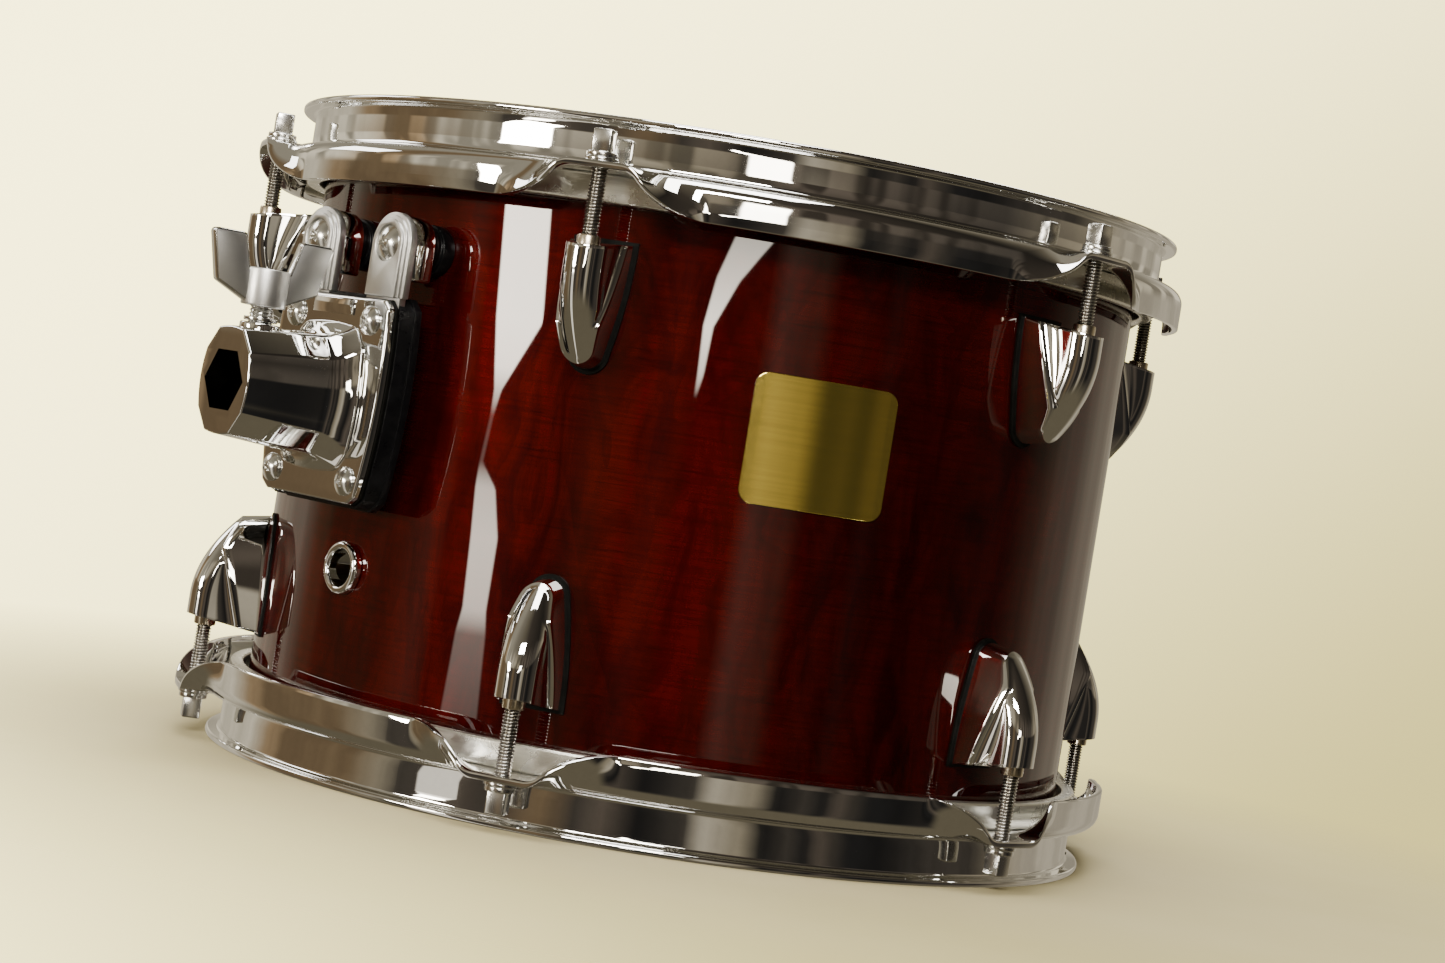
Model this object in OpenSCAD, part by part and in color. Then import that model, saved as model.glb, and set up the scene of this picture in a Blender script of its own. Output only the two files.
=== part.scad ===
// Rack tom tom drum with twelve lugs, pressed hoops and a suspended arm mount.
// Origin at the centre of the bottom rim, +Z up along the drum's axis, arm mount towards -X.

/* [Shell] */
// Outside diameter of the shell
shell_d = 302; // [260:1:340]
// Depth of the shell between its bearing edges
shell_depth = 203.2; // [170:0.1:260]
// Thickness of the shell's wall
shell_wall = 6; // [4:0.5:8]
// Distance of the bearing edge's peak from the outside of the shell
edge_inset = 1.6; // [1:0.1:2.4]
// Depth of the bevel outside the bearing edge
edge_bevel = 2.2; // [1.6:0.1:4]

/* [Heads] */
// Thickness of the head's film
film_t = 0.3; // [0.2:0.05:0.5]
// Room between the shell and the flesh hoop
flesh_gap = 2.3; // [1.5:0.1:3]
// Width of the flesh hoop's section
flesh_w = 4.8; // [4.4:0.1:6]
// Height of the flesh hoop's section
flesh_h = 9; // [7:0.5:12]
// Depth of the flesh hoop's top below the bearing edge
flesh_drop = 5.1; // [4:0.1:8]
// Depth that the film is set into the flesh hoop
film_set = 5; // [3:0.5:6]
// Distance of the film's groove from the inside of the flesh hoop
film_inset = 1; // [0.8:0.1:2]

/* [Hoops] */
// Thickness of the hoop's sheet
hoop_t = 2.3; // [1.6:0.1:2.6]
// Room between the shell and the hoop's wall
hoop_gap = 5; // [4.6:0.1:5.6]
// Height of the rim above the bearing edge
rim_rise = 13.4; // [10:0.1:18]
// Reach of the rim's lip beyond the hoop's wall
lip_out = 4.8; // [4:0.1:6]
// Bend of the lip, on its inner side
lip_bend = 1.2; // [0.6:0.1:1.6]
// Bevel at the edges of the hoop's sheet
sheet_bevel = 0.4; // [0.2:0.1:0.6]
// Distance of the apron's outside from the shell
apron_out = 17; // [14.5:0.1:18]
// Height of the apron from its lower edge to the ears' top
apron_h = 14; // [11:0.5:16]
// Outer bend from the shoulder to the apron
apron_bend = 5; // [3.5:0.1:6]
// Half width of the flat on top of an ear
ear_half = 8.5; // [7:0.5:10]
// Bend at each side of an ear's flat
ear_shoulder = 6; // [4:0.5:9]
// Sweep from an ear down to the apron's lower edge
ear_foot = 30; // [20:1:40]
// Reach of an ear beyond the rod's axis
ear_reach = 6.5; // [6:0.1:8]

/* [Tension rods] */
// Lugs and rods for each head
lugs_per_head = 6; // [5:1:8]
// Turn of the lugs from even places beside the mount
lug_turn = 2; // [-4:0.1:4]
// Distance of the rods' axes from the shell
rod_out = 19; // [18.5:0.1:21]
// Diameter of a rod's shank
rod_d = 5.5; // [5:0.1:6]
// Width of a rod's square head
rod_head_w = 6.35; // [5.5:0.05:6.6]
// Height of a rod's square head
rod_head_h = 7.2; // [6:0.1:9]
// Diameter of a rod's collar
rod_collar_d = 10; // [9.4:0.1:11]
// Height of a rod's collar
rod_collar_h = 1.8; // [1.2:0.1:2.4]
// Length of a rod's shank under its collar
rod_len = 45; // [42:0.5:46]
// Diameter of the washer under a collar
rod_washer_d = 11; // [10:0.1:12]
// Thickness of the washer under a collar
rod_washer_t = 1.3; // [0.8:0.1:1.6]

/* [Lugs] */
// Length of a lug along the shell
lug_len = 42; // [40:0.5:48]
// Width of a lug at its rod end
lug_w = 20; // [19:0.5:24]
// Radius of a lug's rounded tip
lug_tip_r = 6; // [5:0.1:7]
// Depth of a lug's rod end below the bearing edge
lug_drop = 26.1; // [24:0.1:30]
// Slant of a lug's rod end, shell to front
lug_slant = 3.5; // [1:0.1:4]
// Radius of the barrel around the rod
barrel_r = 6.8; // [6.4:0.1:7.4]
// Width of the web from the barrel to the shell
web_w = 8.2; // [7:0.2:10]
// Radius of the barrel's curve towards the shell
barrel_curve = 41; // [38:1:60]
// Length of the barrel's straight stretch at the rod end
barrel_straight = 8; // [6:0.5:10]
// Depth of a lug's side at its rod end
cheek_top = 8; // [6:0.5:10]
// Depth of a lug's side where it meets the barrel's front
cheek_low = 19; // [17:0.5:20]
// Length along the lug over which its side deepens
cheek_len = 28; // [24:0.5:30]
// Step in from the barrel's front to the side's lower end
cheek_inset = 0.4; // [0.2:0.1:1]
// Thickness of a lug's gasket
gasket_t = 1; // [0.6:0.1:1.6]
// Width of the gasket that shows round a lug
gasket_show = 1; // [0.5:0.1:1.5]

/* [Lug nuts and screws] */
// Diameter of the nut's body in its pocket
nut_d = 9; // [8.4:0.1:9.4]
// Height of the nut's body
nut_h = 7; // [6:0.5:8]
// Depth of the nut's body below the lug's rod end
nut_drop = 4.5; // [4:0.1:6]
// Diameter of the nut's neck
nut_neck_d = 7.6; // [7:0.1:8]
// Height of the nut's neck above the lug's front edge
nut_neck_rise = 3.6; // [2:0.1:5]
// Diameter of a lug screw
lug_screw_d = 4; // [3:0.1:4.5]
// Distance of the first lug screw from the rod end
lug_screw_1 = 17.5; // [16.5:0.5:19]
// Distance of the second lug screw from the rod end
lug_screw_2 = 33.5; // [30:0.5:35]
// Length of a lug screw in its lug
lug_screw_grip = 8; // [5:0.5:9]
// Diameter of a lug screw's head
lug_screw_head_d = 7.4; // [6.5:0.1:8]
// Height of a lug screw's head
lug_screw_head_h = 2.6; // [2:0.1:3.5]
// Diameter of a lug screw's washer
lug_washer_d = 10; // [9:0.1:12]
// Thickness of a lug screw's washer
lug_washer_t = 1; // [0.6:0.1:1.5]

/* [Badge and vent] */
// Width of the badge along the shell
badge_w = 48.5; // [36:0.5:56]
// Height of the badge
badge_h = 42.6; // [30:0.2:50]
// Radius of the badge's corners
badge_corner = 5; // [2:0.5:8]
// Thickness of the badge
badge_t = 0.8; // [0.5:0.1:1.2]
// Depth of the badge's centre below the top bearing edge
badge_drop = 80.2; // [70:0.2:90]
// Diameter of the vent's hole
vent_d = 12.4; // [10:0.1:13]
// Diameter of the vent's flange
vent_flange_d = 18; // [17.4:0.1:21]
// Wall of the vent's tube
vent_wall = 1.2; // [0.8:0.1:1.6]
// Height of the vent's flange
vent_flange_h = 3.2; // [2:0.1:4]
// Height of the vent's centre above the bottom bearing edge
vent_rise = 57.6; // [50:0.2:70]
// Thickness of the ring behind the vent
vent_ring_t = 1.4; // [1:0.1:2]
// Reach of the vent's rolled end past its ring
vent_roll = 0.6; // [0.3:0.1:1.5]

/* [Mount bracket] */
// Distance between the two ears' screws
ear_pitch = 40; // [34:0.5:42]
// Depth of the ears' screws below the top bearing edge
ear_drop = 36.6; // [34:0.2:40]
// Distance of the bracket's back from the shell
bracket_out = 14.5; // [13:0.1:20]
// Thickness of the bracket's plate
bracket_t = 2.6; // [2:0.1:3.5]
// Radius of an ear's rounded top
bracket_ear_r = 10.4; // [9.6:0.1:11]
// Step in from one layer of an ear to the next
bracket_step = 1.2; // [0.8:0.1:1.4]
// Height of each step of an ear
bracket_step_h = 0.9; // [0.6:0.1:1.2]
// Diameter of an ear screw
ear_screw_d = 6; // [5:0.1:6.5]
// Diameter of an ear screw's head
ear_head_d = 11.8; // [10.5:0.1:12.4]
// Height of an ear screw's head
ear_head_h = 3; // [2.4:0.1:3.6]
// Depth of the recess round an ear screw's head
ear_recess = 1.2; // [0.8:0.1:1.4]
// Diameter of the washer on an ear screw, inside the shell
ear_washer_d = 20; // [16:0.5:22]
// Thickness of the washer on an ear screw
ear_washer_t = 1.5; // [1:0.1:2.5]
// Width across the flats of the nut on an ear screw
ear_nut_w = 10; // [9:0.1:11]
// Height of the nut on an ear screw
ear_nut_h = 5; // [4:0.1:6]
// Length of an ear screw past its nut
ear_screw_past = 2; // [1:0.5:4]
// Length of a stand-off post
post_len = 8; // [6:0.5:9]
// Step in from an ear's outline to its post
post_inset = 0.4; // [0.2:0.1:1]
// Height of a post below its screw
post_low = 11.4; // [9:0.2:13]
// Diameter of the rubber bush at the shell
bush_d = 17.5; // [16:0.5:20]
// Depth of the groove round a bush
bush_groove = 1; // [0.5:0.1:2]
// Width of the groove round a bush
bush_groove_w = 2; // [1:0.1:3]

/* [Arm receiver] */
// Depth of the receiver's centre below the ears' screws
plate_drop = 52.7; // [50.5:0.1:56]
// Height of the receiver's plate
plate_h = 67.5; // [64:0.5:70]
// Width of the receiver's plate at its widest
plate_w = 62; // [58:0.5:66]
// Radius of the plate's bulging sides
plate_side_r = 190; // [150:5:300]
// Height of the plate's widest place above its centre
plate_wide_up = 9.5; // [4:0.5:12]
// Radius of the round that trims the plate's corners
plate_corner_r = 42; // [39:0.5:43]
// Height of that round's centre above the plate's centre
plate_corner_up = 1.4; // [0:0.1:2]
// Thickness of the receiver's plate
plate_t = 2.7; // [2:0.1:4]
// Thickness of the gasket behind the plate
front_gasket_t = 1.3; // [0.8:0.1:2]
// Reach of the gasket round the plate
front_gasket_grow = 0.4; // [0.2:0.1:0.8]
// Length of a plate screw past the bracket
plate_screw_past = 1.5; // [1:0.1:3]
// Distance between the plate's screws across
plate_screw_x = 42; // [39:0.5:44]
// Distance between the plate's screws up and down
plate_screw_z = 53; // [51:0.5:55]
// Diameter of a plate screw
plate_screw_d = 5; // [4:0.1:5.5]
// Diameter of a plate screw's head
plate_head_d = 9.6; // [8.5:0.1:10]
// Height of a plate screw's head
plate_head_h = 2.9; // [2:0.1:3.5]
// Thickness of the rubber cushion behind the bracket
cushion_t = 5.5; // [4.5:0.5:8]
// Reach of the cushion round the bracket
cushion_grow = 1; // [0.8:0.1:1.6]
// Extra reach of the cushion's back step
cushion_step = 0.8; // [0.4:0.1:1.4]
// Length of the receiver from its plate to its mouth
receiver_len = 38.4; // [34:0.2:46]
// Height of the receiver's tube
receiver_h = 35.4; // [33:0.2:40]
// Width of the receiver's tube
receiver_w = 28.2; // [26:0.2:32]
// Width of the bevels along the receiver's tube
receiver_bevel_w = 7; // [5:0.2:8]
// Height of the bevels along the receiver's tube
receiver_bevel_h = 8; // [6:0.2:9]
// Height of the foot where the tube meets the plate
foot_h = 2.4; // [1.6:0.1:3]
// Growth of the tube on every side at its foot
foot_grow = 8.6; // [7:0.1:9.4]
// Height of the flare's waist above the plate, from which the tube tapers to its mouth
waist_h = 6.4; // [5.5:0.1:8]
// Growth of the tube on every side at the flare's waist
waist_grow = 3.2; // [2.4:0.1:4]
// Width of the blank name pad on the plate
pad_w = 22; // [18:0.5:26]
// Height of the name pad
pad_h = 5.2; // [4:0.1:5.6]
// Thickness of the name pad
pad_t = 0.8; // [0.5:0.1:1.4]
// Width across the flats of the arm's socket
socket_w = 19.3; // [17:0.1:20]

/* [Wing bolt] */
// Distance of the wing bolt's axis from the receiver's mouth
bolt_in = 10.4; // [10:0.2:12]
// Diameter of the wing bolt's thread
bolt_d = 8; // [6:0.1:8.5]
// Diameter of the clamp shoe
shoe_d = 12; // [10:0.1:13]
// Thickness of the clamp shoe
shoe_t = 3; // [2:0.1:3.4]
// Travel of the clamp shoe
shoe_travel = 2.5; // [1.5:0.1:2.5]
// Diameter of the boss under the wing bolt
boss_d = 13; // [12:0.5:16]
// Height of the boss above the tube
boss_h = 2.2; // [1.5:0.1:4]
// Diameter of the wing bolt's collar
collar_d = 11; // [10:0.5:14]
// Height of the wing bolt's collar
collar_h = 1.4; // [1:0.1:2.4]
// Height of the wing bolt's hub above the collar's foot
neck_h = 5; // [3:0.1:8]
// Diameter of the wing bolt's hub
hub_d = 14.6; // [12:0.1:16]
// Height of the wing bolt's hub
hub_h = 12.2; // [10:0.1:16]
// Height of the wings' lower edge above the hub's foot
wing_foot = 1.2; // [0.6:0.1:3]
// Reach of a wing's outer low corner
wing_low_out = 17.5; // [14:0.1:19]
// Height of a wing's outer low corner above the hub's foot
wing_low_up = 6.2; // [4:0.1:9]
// Distance between the wings' tips
wing_apart = 18.6; // [16:0.1:24]
// Radius of a wing's rounded corners
wing_round = 1.5; // [1:0.1:3]
// Span of the wings
wing_span = 41.6; // [38:0.1:48]
// Height of the wings' tips above the hub's foot
wing_h = 22.8; // [19:0.1:28]
// Thickness of a wing
wing_t = 4.6; // [3:0.1:5.5]
// Turn of the wings about the bolt
wing_turn = 168; // [0:1:180]

/* [Fits] */
// Gap between faces that bear on each other
seat_gap = 0.04; // [0.02:0.01:0.08]
// Radial clearance of a screw, a rod or a nut in its hole
run_gap = 0.05; // [0.02:0.01:0.08]
// Radial clearance of a shank that passes a hole freely
pass_gap = 0.35; // [0.3:0.05:0.5]
// Gap left at the end of a moving piece's travel
end_gap = 0.4; // [0.3:0.05:0.6]
// Gap between the open clamp shoe and the socket's flat
shoe_gap = 0.15; // [0.1:0.05:0.3]

/* [Hidden] */
$fn = 96;
// overlap of solids that are one piece, and reach of a cut past a face
join = 0.5;
over = 1;
shell_r = shell_d / 2;
inner_r = shell_r - shell_wall;
edge_z = shell_depth / 2;
rim_z = edge_z + rim_rise;
peak_r = shell_r - edge_inset;

// heads and hoops, measured from the middle of the shell
flesh_top = edge_z - flesh_drop;
flesh_r = shell_r + flesh_gap;
wall_r = shell_r + hoop_gap;
tail_r = flesh_r + film_inset + film_t;
flange_low = flesh_top + seat_gap;
flange_top = flange_low + hoop_t;
apron_r = shell_r + apron_out;
apron_low = flange_top - apron_h;
lip_r = wall_r + hoop_t + lip_out;

// rods
rod_r = shell_r + rod_out;
lug_pitch = 360 / lugs_per_head;
first_lug = 180 + lug_pitch / 2;
washer_z = flange_top + seat_gap;
collar_z = washer_z + rod_washer_t + seat_gap;
rod_end = collar_z - rod_len;
ear_r = rod_r + ear_reach;
ear_in = flesh_r + flesh_w + pass_gap;
ear_fall = apron_h - hoop_t;
ear_turn = acos(1 - ear_fall / (ear_shoulder + ear_foot));
hump_half = ear_half + (ear_shoulder + ear_foot) * sin(ear_turn);
hump_above = hump(0);
hump_below = hump(hoop_t);

// lugs
lug_end = edge_z - lug_drop;
lug_tip = lug_end - lug_len;
lug_seat_r = shell_r + gasket_t + seat_gap;
barrel_z = lug_end - barrel_straight;
barrel_centre = rod_r - barrel_curve;
nut_top = lug_end - nut_drop;
neck_top = lug_end - lug_slant + nut_neck_rise;
rod_bore_end = rod_end - 2 * over;
screw_depths = [lug_screw_1, lug_screw_2];
lug_washer_x = sqrt(inner_r * inner_r - lug_washer_d * lug_washer_d / 4) - seat_gap;

// vent and mount
vent_z = vent_rise - edge_z;
vent_tube_r = vent_d / 2 + vent_wall;
vent_ring_x = sqrt(inner_r * inner_r - vent_flange_d * vent_flange_d / 4) - seat_gap - vent_ring_t;
ear_z = edge_z - ear_drop;
bracket_x = shell_r + bracket_out;
bracket_front = bracket_x + bracket_t;
gasket_x = bracket_front + seat_gap;
plate_x = gasket_x + front_gasket_t + seat_gap;
plate_front = plate_x + plate_t;
plate_z = ear_z - plate_drop;
plate_top = plate_h / 2;
strip_r = bracket_ear_r - bracket_step;
cushion_x = bracket_x - seat_gap - cushion_t;
post_x = bracket_x - seat_gap - post_len;
bush_x = post_x - seat_gap;
mouth_x = plate_front + receiver_len;
bracket_rise = bracket_front + 2 * bracket_step_h;
ear_seat_x = bracket_rise - ear_recess;
ear_washer_x = sqrt(inner_r * inner_r - pow((ear_pitch + ear_washer_d) / 2, 2)) - seat_gap;

// wing bolt, measured from the socket's axis
bolt_x = mouth_x - bolt_in;
shoe_z = socket_w / 2 + shoe_gap;
shoe_top = shoe_z + shoe_t;
pocket_top = shoe_top + shoe_travel + end_gap;
boss_top = receiver_h / 2 + boss_h;
collar_low = boss_top + end_gap;
hub_low = collar_low + neck_h;
mid_z = rim_z;

LUGS = [for (k = [1 : lugs_per_head]) k];

// Places

// The upper half is drawn upwards from the middle of the shell, and the lower half is its mirror
module top_side() translate([0, 0, mid_z]) children();
module bottom_side() translate([0, 0, mid_z]) mirror([0, 0, 1]) children();
module at_even(k) rotate([0, 0, first_lug + (k - 1) * lug_pitch]) children();
module at_lug(k) rotate([0, 0, lug_turn]) at_even(k) children();
module at_rod(k) at_lug(k) translate([rod_r, 0, 0]) children();
module at_mount() translate([0, 0, mid_z]) rotate([0, 0, 180]) children();
module at_plate() at_mount() translate([0, 0, plate_z]) children();
module at_ears() {
    for (side = [-1, 1])
        at_mount() translate([0, side * ear_pitch / 2, ear_z]) children();
}
module at_plate_screws() {
    for (y = [-1, 1], z = [-1, 1])
        at_plate() translate([0, y * plate_screw_x / 2, z * plate_screw_z / 2]) children();
}
module at_lug_screws() {
    for (depth = screw_depths)
        translate([0, 0, lug_end - depth]) children();
}

// Shapes

// A cylinder along +X from x1 to x2
module rod_x(x1, x2, r) translate([x1, 0, 0]) rotate([0, 90, 0]) cylinder(h = x2 - x1, r = r);

// An outline drawn across and up, raised along +X from x1 to x2
module raise_x(x1, x2) {
    translate([x1, 0, 0])
        rotate([90, 0, 90])
            linear_extrude(x2 - x1) children();
}

// Points along an arc about a centre
function arc(centre, r, from, to, steps = 6) = [
    for (i = [0 : steps])
        let (a = from + (to - from) * i / steps) centre + r * [cos(a), sin(a)]
];

// A screw head with a low dome on the plane x = 0, with a cross recess where it shows
module pan_head(d, h, cross = true) {
    dome_h = h * 0.75;
    dome_r = (d * d / 4 + dome_h * dome_h) / (2 * dome_h);
    slot_w = d / 6;
    slot_l = d * 0.56;
    slot_low = h * 0.45;
    difference() {
        rotate([0, 90, 0])
            rotate_extrude()
                intersection() {
                    square([d / 2, h]);
                    translate([0, h - dome_r]) circle(dome_r);
                }
        if (cross)
            raise_x(slot_low, 2 * h) {
                square([slot_l, slot_w], center = true);
                square([slot_w, slot_l], center = true);
            }
    }
}

// Shell

module shell_profile() {
    inner_bevel = shell_wall - edge_inset;
    polygon([
        [inner_r, -edge_z + inner_bevel], [peak_r, -edge_z], [shell_r, -edge_z + edge_bevel],
        [shell_r, edge_z - edge_bevel], [peak_r, edge_z], [inner_r, edge_z - inner_bevel]
    ]);
}

module shell() {
    color("firebrick")
        difference() {
            translate([0, 0, mid_z]) rotate_extrude() shell_profile();
            for (k = LUGS) {
                top_side() at_lug(k) at_lug_screws()
                    rod_x(inner_r - over, shell_r + over, lug_screw_d / 2 + pass_gap);
                bottom_side() at_lug(k) at_lug_screws()
                    rod_x(inner_r - over, shell_r + over, lug_screw_d / 2 + pass_gap);
            }
            at_mount() translate([0, 0, vent_z]) rod_x(inner_r - over, shell_r + over, vent_tube_r + run_gap);
            at_ears() rod_x(ear_washer_x, shell_r + over, ear_screw_d / 2 + pass_gap);
        }
}

module badge_outline() {
    x = badge_w / 2 - badge_corner;
    y = badge_h / 2 - badge_corner;
    square([badge_w, 2 * y], center = true);
    square([2 * x, badge_h], center = true);
    for (sx = [-1, 1], sy = [-1, 1])
        translate([sx * x, sy * y]) circle(badge_corner);
}

module badge() {
    color("goldenrod")
        translate([0, 0, mid_z + edge_z - badge_drop])
            rotate([0, 0, first_lug + lug_pitch / 2 + lug_turn])
                intersection() {
                    raise_x(inner_r, shell_r + 2 * badge_t) badge_outline();
                    difference() {
                        cylinder(h = badge_h + over, r = shell_r + seat_gap + badge_t, center = true);
                        cylinder(h = badge_h + 2 * over, r = shell_r + seat_gap, center = true);
                    }
                }
}

module vent_grommet() {
    tube_in = vent_ring_x - vent_roll;
    flange_w = (vent_flange_d - vent_d) / 2;
    color("silver")
        at_mount() translate([0, 0, vent_z])
            rotate([0, 90, 0])
                rotate_extrude() {
                    translate([vent_d / 2, tube_in]) square([vent_wall, shell_r + join - tube_in]);
                    intersection() {
                        translate([vent_d / 2, shell_r + seat_gap])
                            square([flange_w, vent_flange_h]);
                        translate([(vent_d + flange_w) / 2, shell_r + vent_flange_h - flange_w])
                            circle(flange_w);
                    }
                }
}

module vent_backing_ring() {
    front = vent_ring_x + vent_ring_t;
    color("silver")
        at_mount() translate([0, 0, vent_z])
            difference() {
                rod_x(vent_ring_x, front, vent_flange_d / 2);
                rod_x(vent_ring_x - over, front + over, vent_tube_r + run_gap);
            }
}

// Heads

// The film lies flat over the bearing edge, slopes down outside it and ends inside the flesh hoop
module head_film() {
    low = edge_z + seat_gap;
    fall = atan2(low - flesh_top, tail_r - film_t - peak_r);
    rotate_extrude()
        polygon([
            [0, low], [peak_r, low], [tail_r - film_t, flesh_top], [tail_r - film_t, flesh_top - film_set],
            [tail_r, flesh_top - film_set], [tail_r, flesh_top + film_t * tan(45 - fall / 2)],
            [peak_r + film_t * tan(fall / 2), low + film_t], [0, low + film_t]
        ]);
}

module flesh_hoop() {
    groove = film_t + 2 * run_gap;
    rotate_extrude()
        difference() {
            translate([flesh_r, flesh_top - flesh_h]) square([flesh_w, flesh_h]);
            translate([tail_r - film_t - run_gap, flesh_top - film_set - run_gap])
                square([groove, film_set + over]);
        }
}

module batter_head() color("white") top_side() head_film();
module batter_flesh_hoop() color("darkgray") top_side() flesh_hoop();
module resonant_head() color("whitesmoke") bottom_side() head_film();
module resonant_flesh_hoop() color("darkgray") bottom_side() flesh_hoop();

// Hoops

// The hoop's sheet: shoulder and apron, then the wall, the lip and back down the inside
module hoop_profile() {
    b = sheet_bevel;
    apron_at = [apron_r - apron_bend, flange_top - apron_bend];
    lip_at = [wall_r + hoop_t + lip_bend, rim_z - hoop_t - lip_bend];
    polygon(concat(
        [[wall_r + b, flange_low]],
        arc(apron_at, apron_bend - hoop_t, 90, 0),
        [[apron_r - hoop_t, apron_low], [apron_r, apron_low]],
        arc(apron_at, apron_bend, 0, 90),
        [[wall_r + hoop_t, flange_top]],
        arc(lip_at, lip_bend, 180, 90),
        [[lip_r - b, rim_z - hoop_t], [lip_r, rim_z - hoop_t + b]],
        [[lip_r, rim_z - b], [lip_r - b, rim_z]],
        arc(lip_at, lip_bend + hoop_t, 90, 180),
        [[wall_r, flange_low + b]]
    ));
}

// One side of an ear's hump, at a depth in its sheet: a round shoulder and a long hollow foot
function hump_side(depth) = concat(
    arc([ear_half, flange_top - ear_shoulder], ear_shoulder - depth, 90, 90 - ear_turn),
    arc([hump_half, flange_top - ear_fall + ear_foot], ear_foot + depth, 270 - ear_turn, 270)
);
function backwards(points) = [for (i = [len(points) - 1 : -1 : 0]) points[i]];
function turned(points) = [for (p = backwards(points)) [-p[0], p[1]]];
function hump(depth) = concat(turned(hump_side(depth)), hump_side(depth));

// The space that an ear's sheet may take: from outside the flesh hoop out to a cone
module ear_space() {
    half_t = hoop_t / 2;
    under = half_t / 2;
    above = flange_top + over;
    below = apron_low - over;
    apron_at = [apron_r - apron_bend, flange_top - apron_bend];
    rotate_extrude()
        polygon(concat(
            [[ear_in, flange_low - under]],
            arc(apron_at, apron_bend - hoop_t - under, 90, 0),
            [[apron_r - hoop_t - under, below], [apron_r - half_t, below], [ear_r, flange_low]],
            [[ear_r, above], [ear_in, above]]
        ));
}

module ear(k) {
    intersection() {
        at_even(k) raise_x(wall_r + hoop_t / 2, ear_r + over)
            polygon(concat(hump_above, backwards(hump_below)));
        ear_space();
    }
}

module under_ear(k) {
    below = apron_low - 2 * over;
    at_even(k) raise_x(wall_r + 2 * hoop_t, ear_r + over)
        polygon(concat(hump_below, [[hump_half, below], [-hump_half, below]]));
}

module hoop() {
    difference() {
        union() {
            difference() {
                rotate_extrude() hoop_profile();
                for (k = LUGS)
                    under_ear(k);
            }
            for (k = LUGS)
                ear(k);
        }
        for (k = LUGS)
            at_even(k) translate([rod_r, 0, apron_low])
                cylinder(h = apron_h + over, r = rod_d / 2 + pass_gap);
    }
}

module top_hoop() color("gainsboro") top_side() rotate([0, 0, lug_turn]) hoop();
module bottom_hoop() color("gainsboro") bottom_side() rotate([0, 0, lug_turn]) hoop();

// Tension rods

module rod() {
    head_h = rod_collar_h + rod_head_h;
    dome_r = 2 * rod_head_w;
    translate([0, 0, rod_end]) cylinder(h = rod_len + join, r = rod_d / 2);
    translate([0, 0, collar_z]) {
        cylinder(h = rod_collar_h, r = rod_collar_d / 2);
        intersection() {
            translate([-rod_head_w / 2, -rod_head_w / 2, 0]) cube([rod_head_w, rod_head_w, head_h]);
            translate([0, 0, head_h - dome_r]) sphere(dome_r);
        }
    }
}

module rod_washer() {
    difference() {
        translate([0, 0, washer_z]) cylinder(h = rod_washer_t, r = rod_washer_d / 2);
        translate([0, 0, washer_z - over]) cylinder(h = rod_washer_t + 2 * over, r = rod_d / 2 + pass_gap);
    }
}

module top_rod(k) color("silver") top_side() at_rod(k) rod();
module bottom_rod(k) color("silver") bottom_side() at_rod(k) rod();
module top_rod_washers() color("silver") for (k = LUGS) top_side() at_rod(k) rod_washer();
module bottom_rod_washers() color("silver") for (k = LUGS) bottom_side() at_rod(k) rod_washer();

// Lugs

// A straight edge at the rod end, sides that draw in along arcs, and a round tip
module lug_outline(grow) {
    half = lug_w / 2 + grow;
    tip_r = lug_tip_r + grow;
    len = lug_len + 2 * grow;
    side_r = (pow(len - tip_r, 2) / (half - tip_r) + tip_r + half) / 2;
    tangent_z = (len - tip_r) * side_r / (side_r - tip_r);
    translate([0, lug_end + grow]) {
        intersection() {
            translate([half - side_r, 0]) circle(side_r);
            translate([side_r - half, 0]) circle(side_r);
            translate([-half, -tangent_z]) square([2 * half, tangent_z]);
        }
        translate([0, tip_r - len]) circle(tip_r);
    }
}

// Seen from the side, the lug's cheeks deepen from the rod end to the barrel's front
module lug_cheeks() {
    slope = (cheek_low - cheek_top) / cheek_len;
    reach = lug_len + over;
    intersection() {
        rotate([90, 0, 0])
            linear_extrude(lug_w + over, center = true)
                polygon([
                    [inner_r, lug_end], [shell_r + cheek_top, lug_end],
                    [shell_r + cheek_top + slope * reach, lug_end - reach], [inner_r, lug_end - reach]
                ]);
        translate([barrel_centre, 0, barrel_z])
            rotate([90, 0, 0])
                cylinder(h = lug_w + 2 * over, r = barrel_curve + barrel_r - cheek_inset, center = true);
    }
}

module lug_barrel() {
    sweep = asin(min(1, (barrel_z - lug_tip + over) / barrel_curve));
    web_len = lug_end - nut_top + nut_h + barrel_r;
    translate([rod_r, 0, barrel_z]) cylinder(h = barrel_straight, r = barrel_r);
    translate([barrel_centre, 0, barrel_z])
        rotate([-90, 0, 0])
            rotate_extrude(angle = sweep) translate([barrel_curve, 0]) circle(barrel_r);
    translate([inner_r, -web_w / 2, lug_end - web_len])
        cube([rod_r - inner_r, web_w, web_len]);
}

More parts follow.
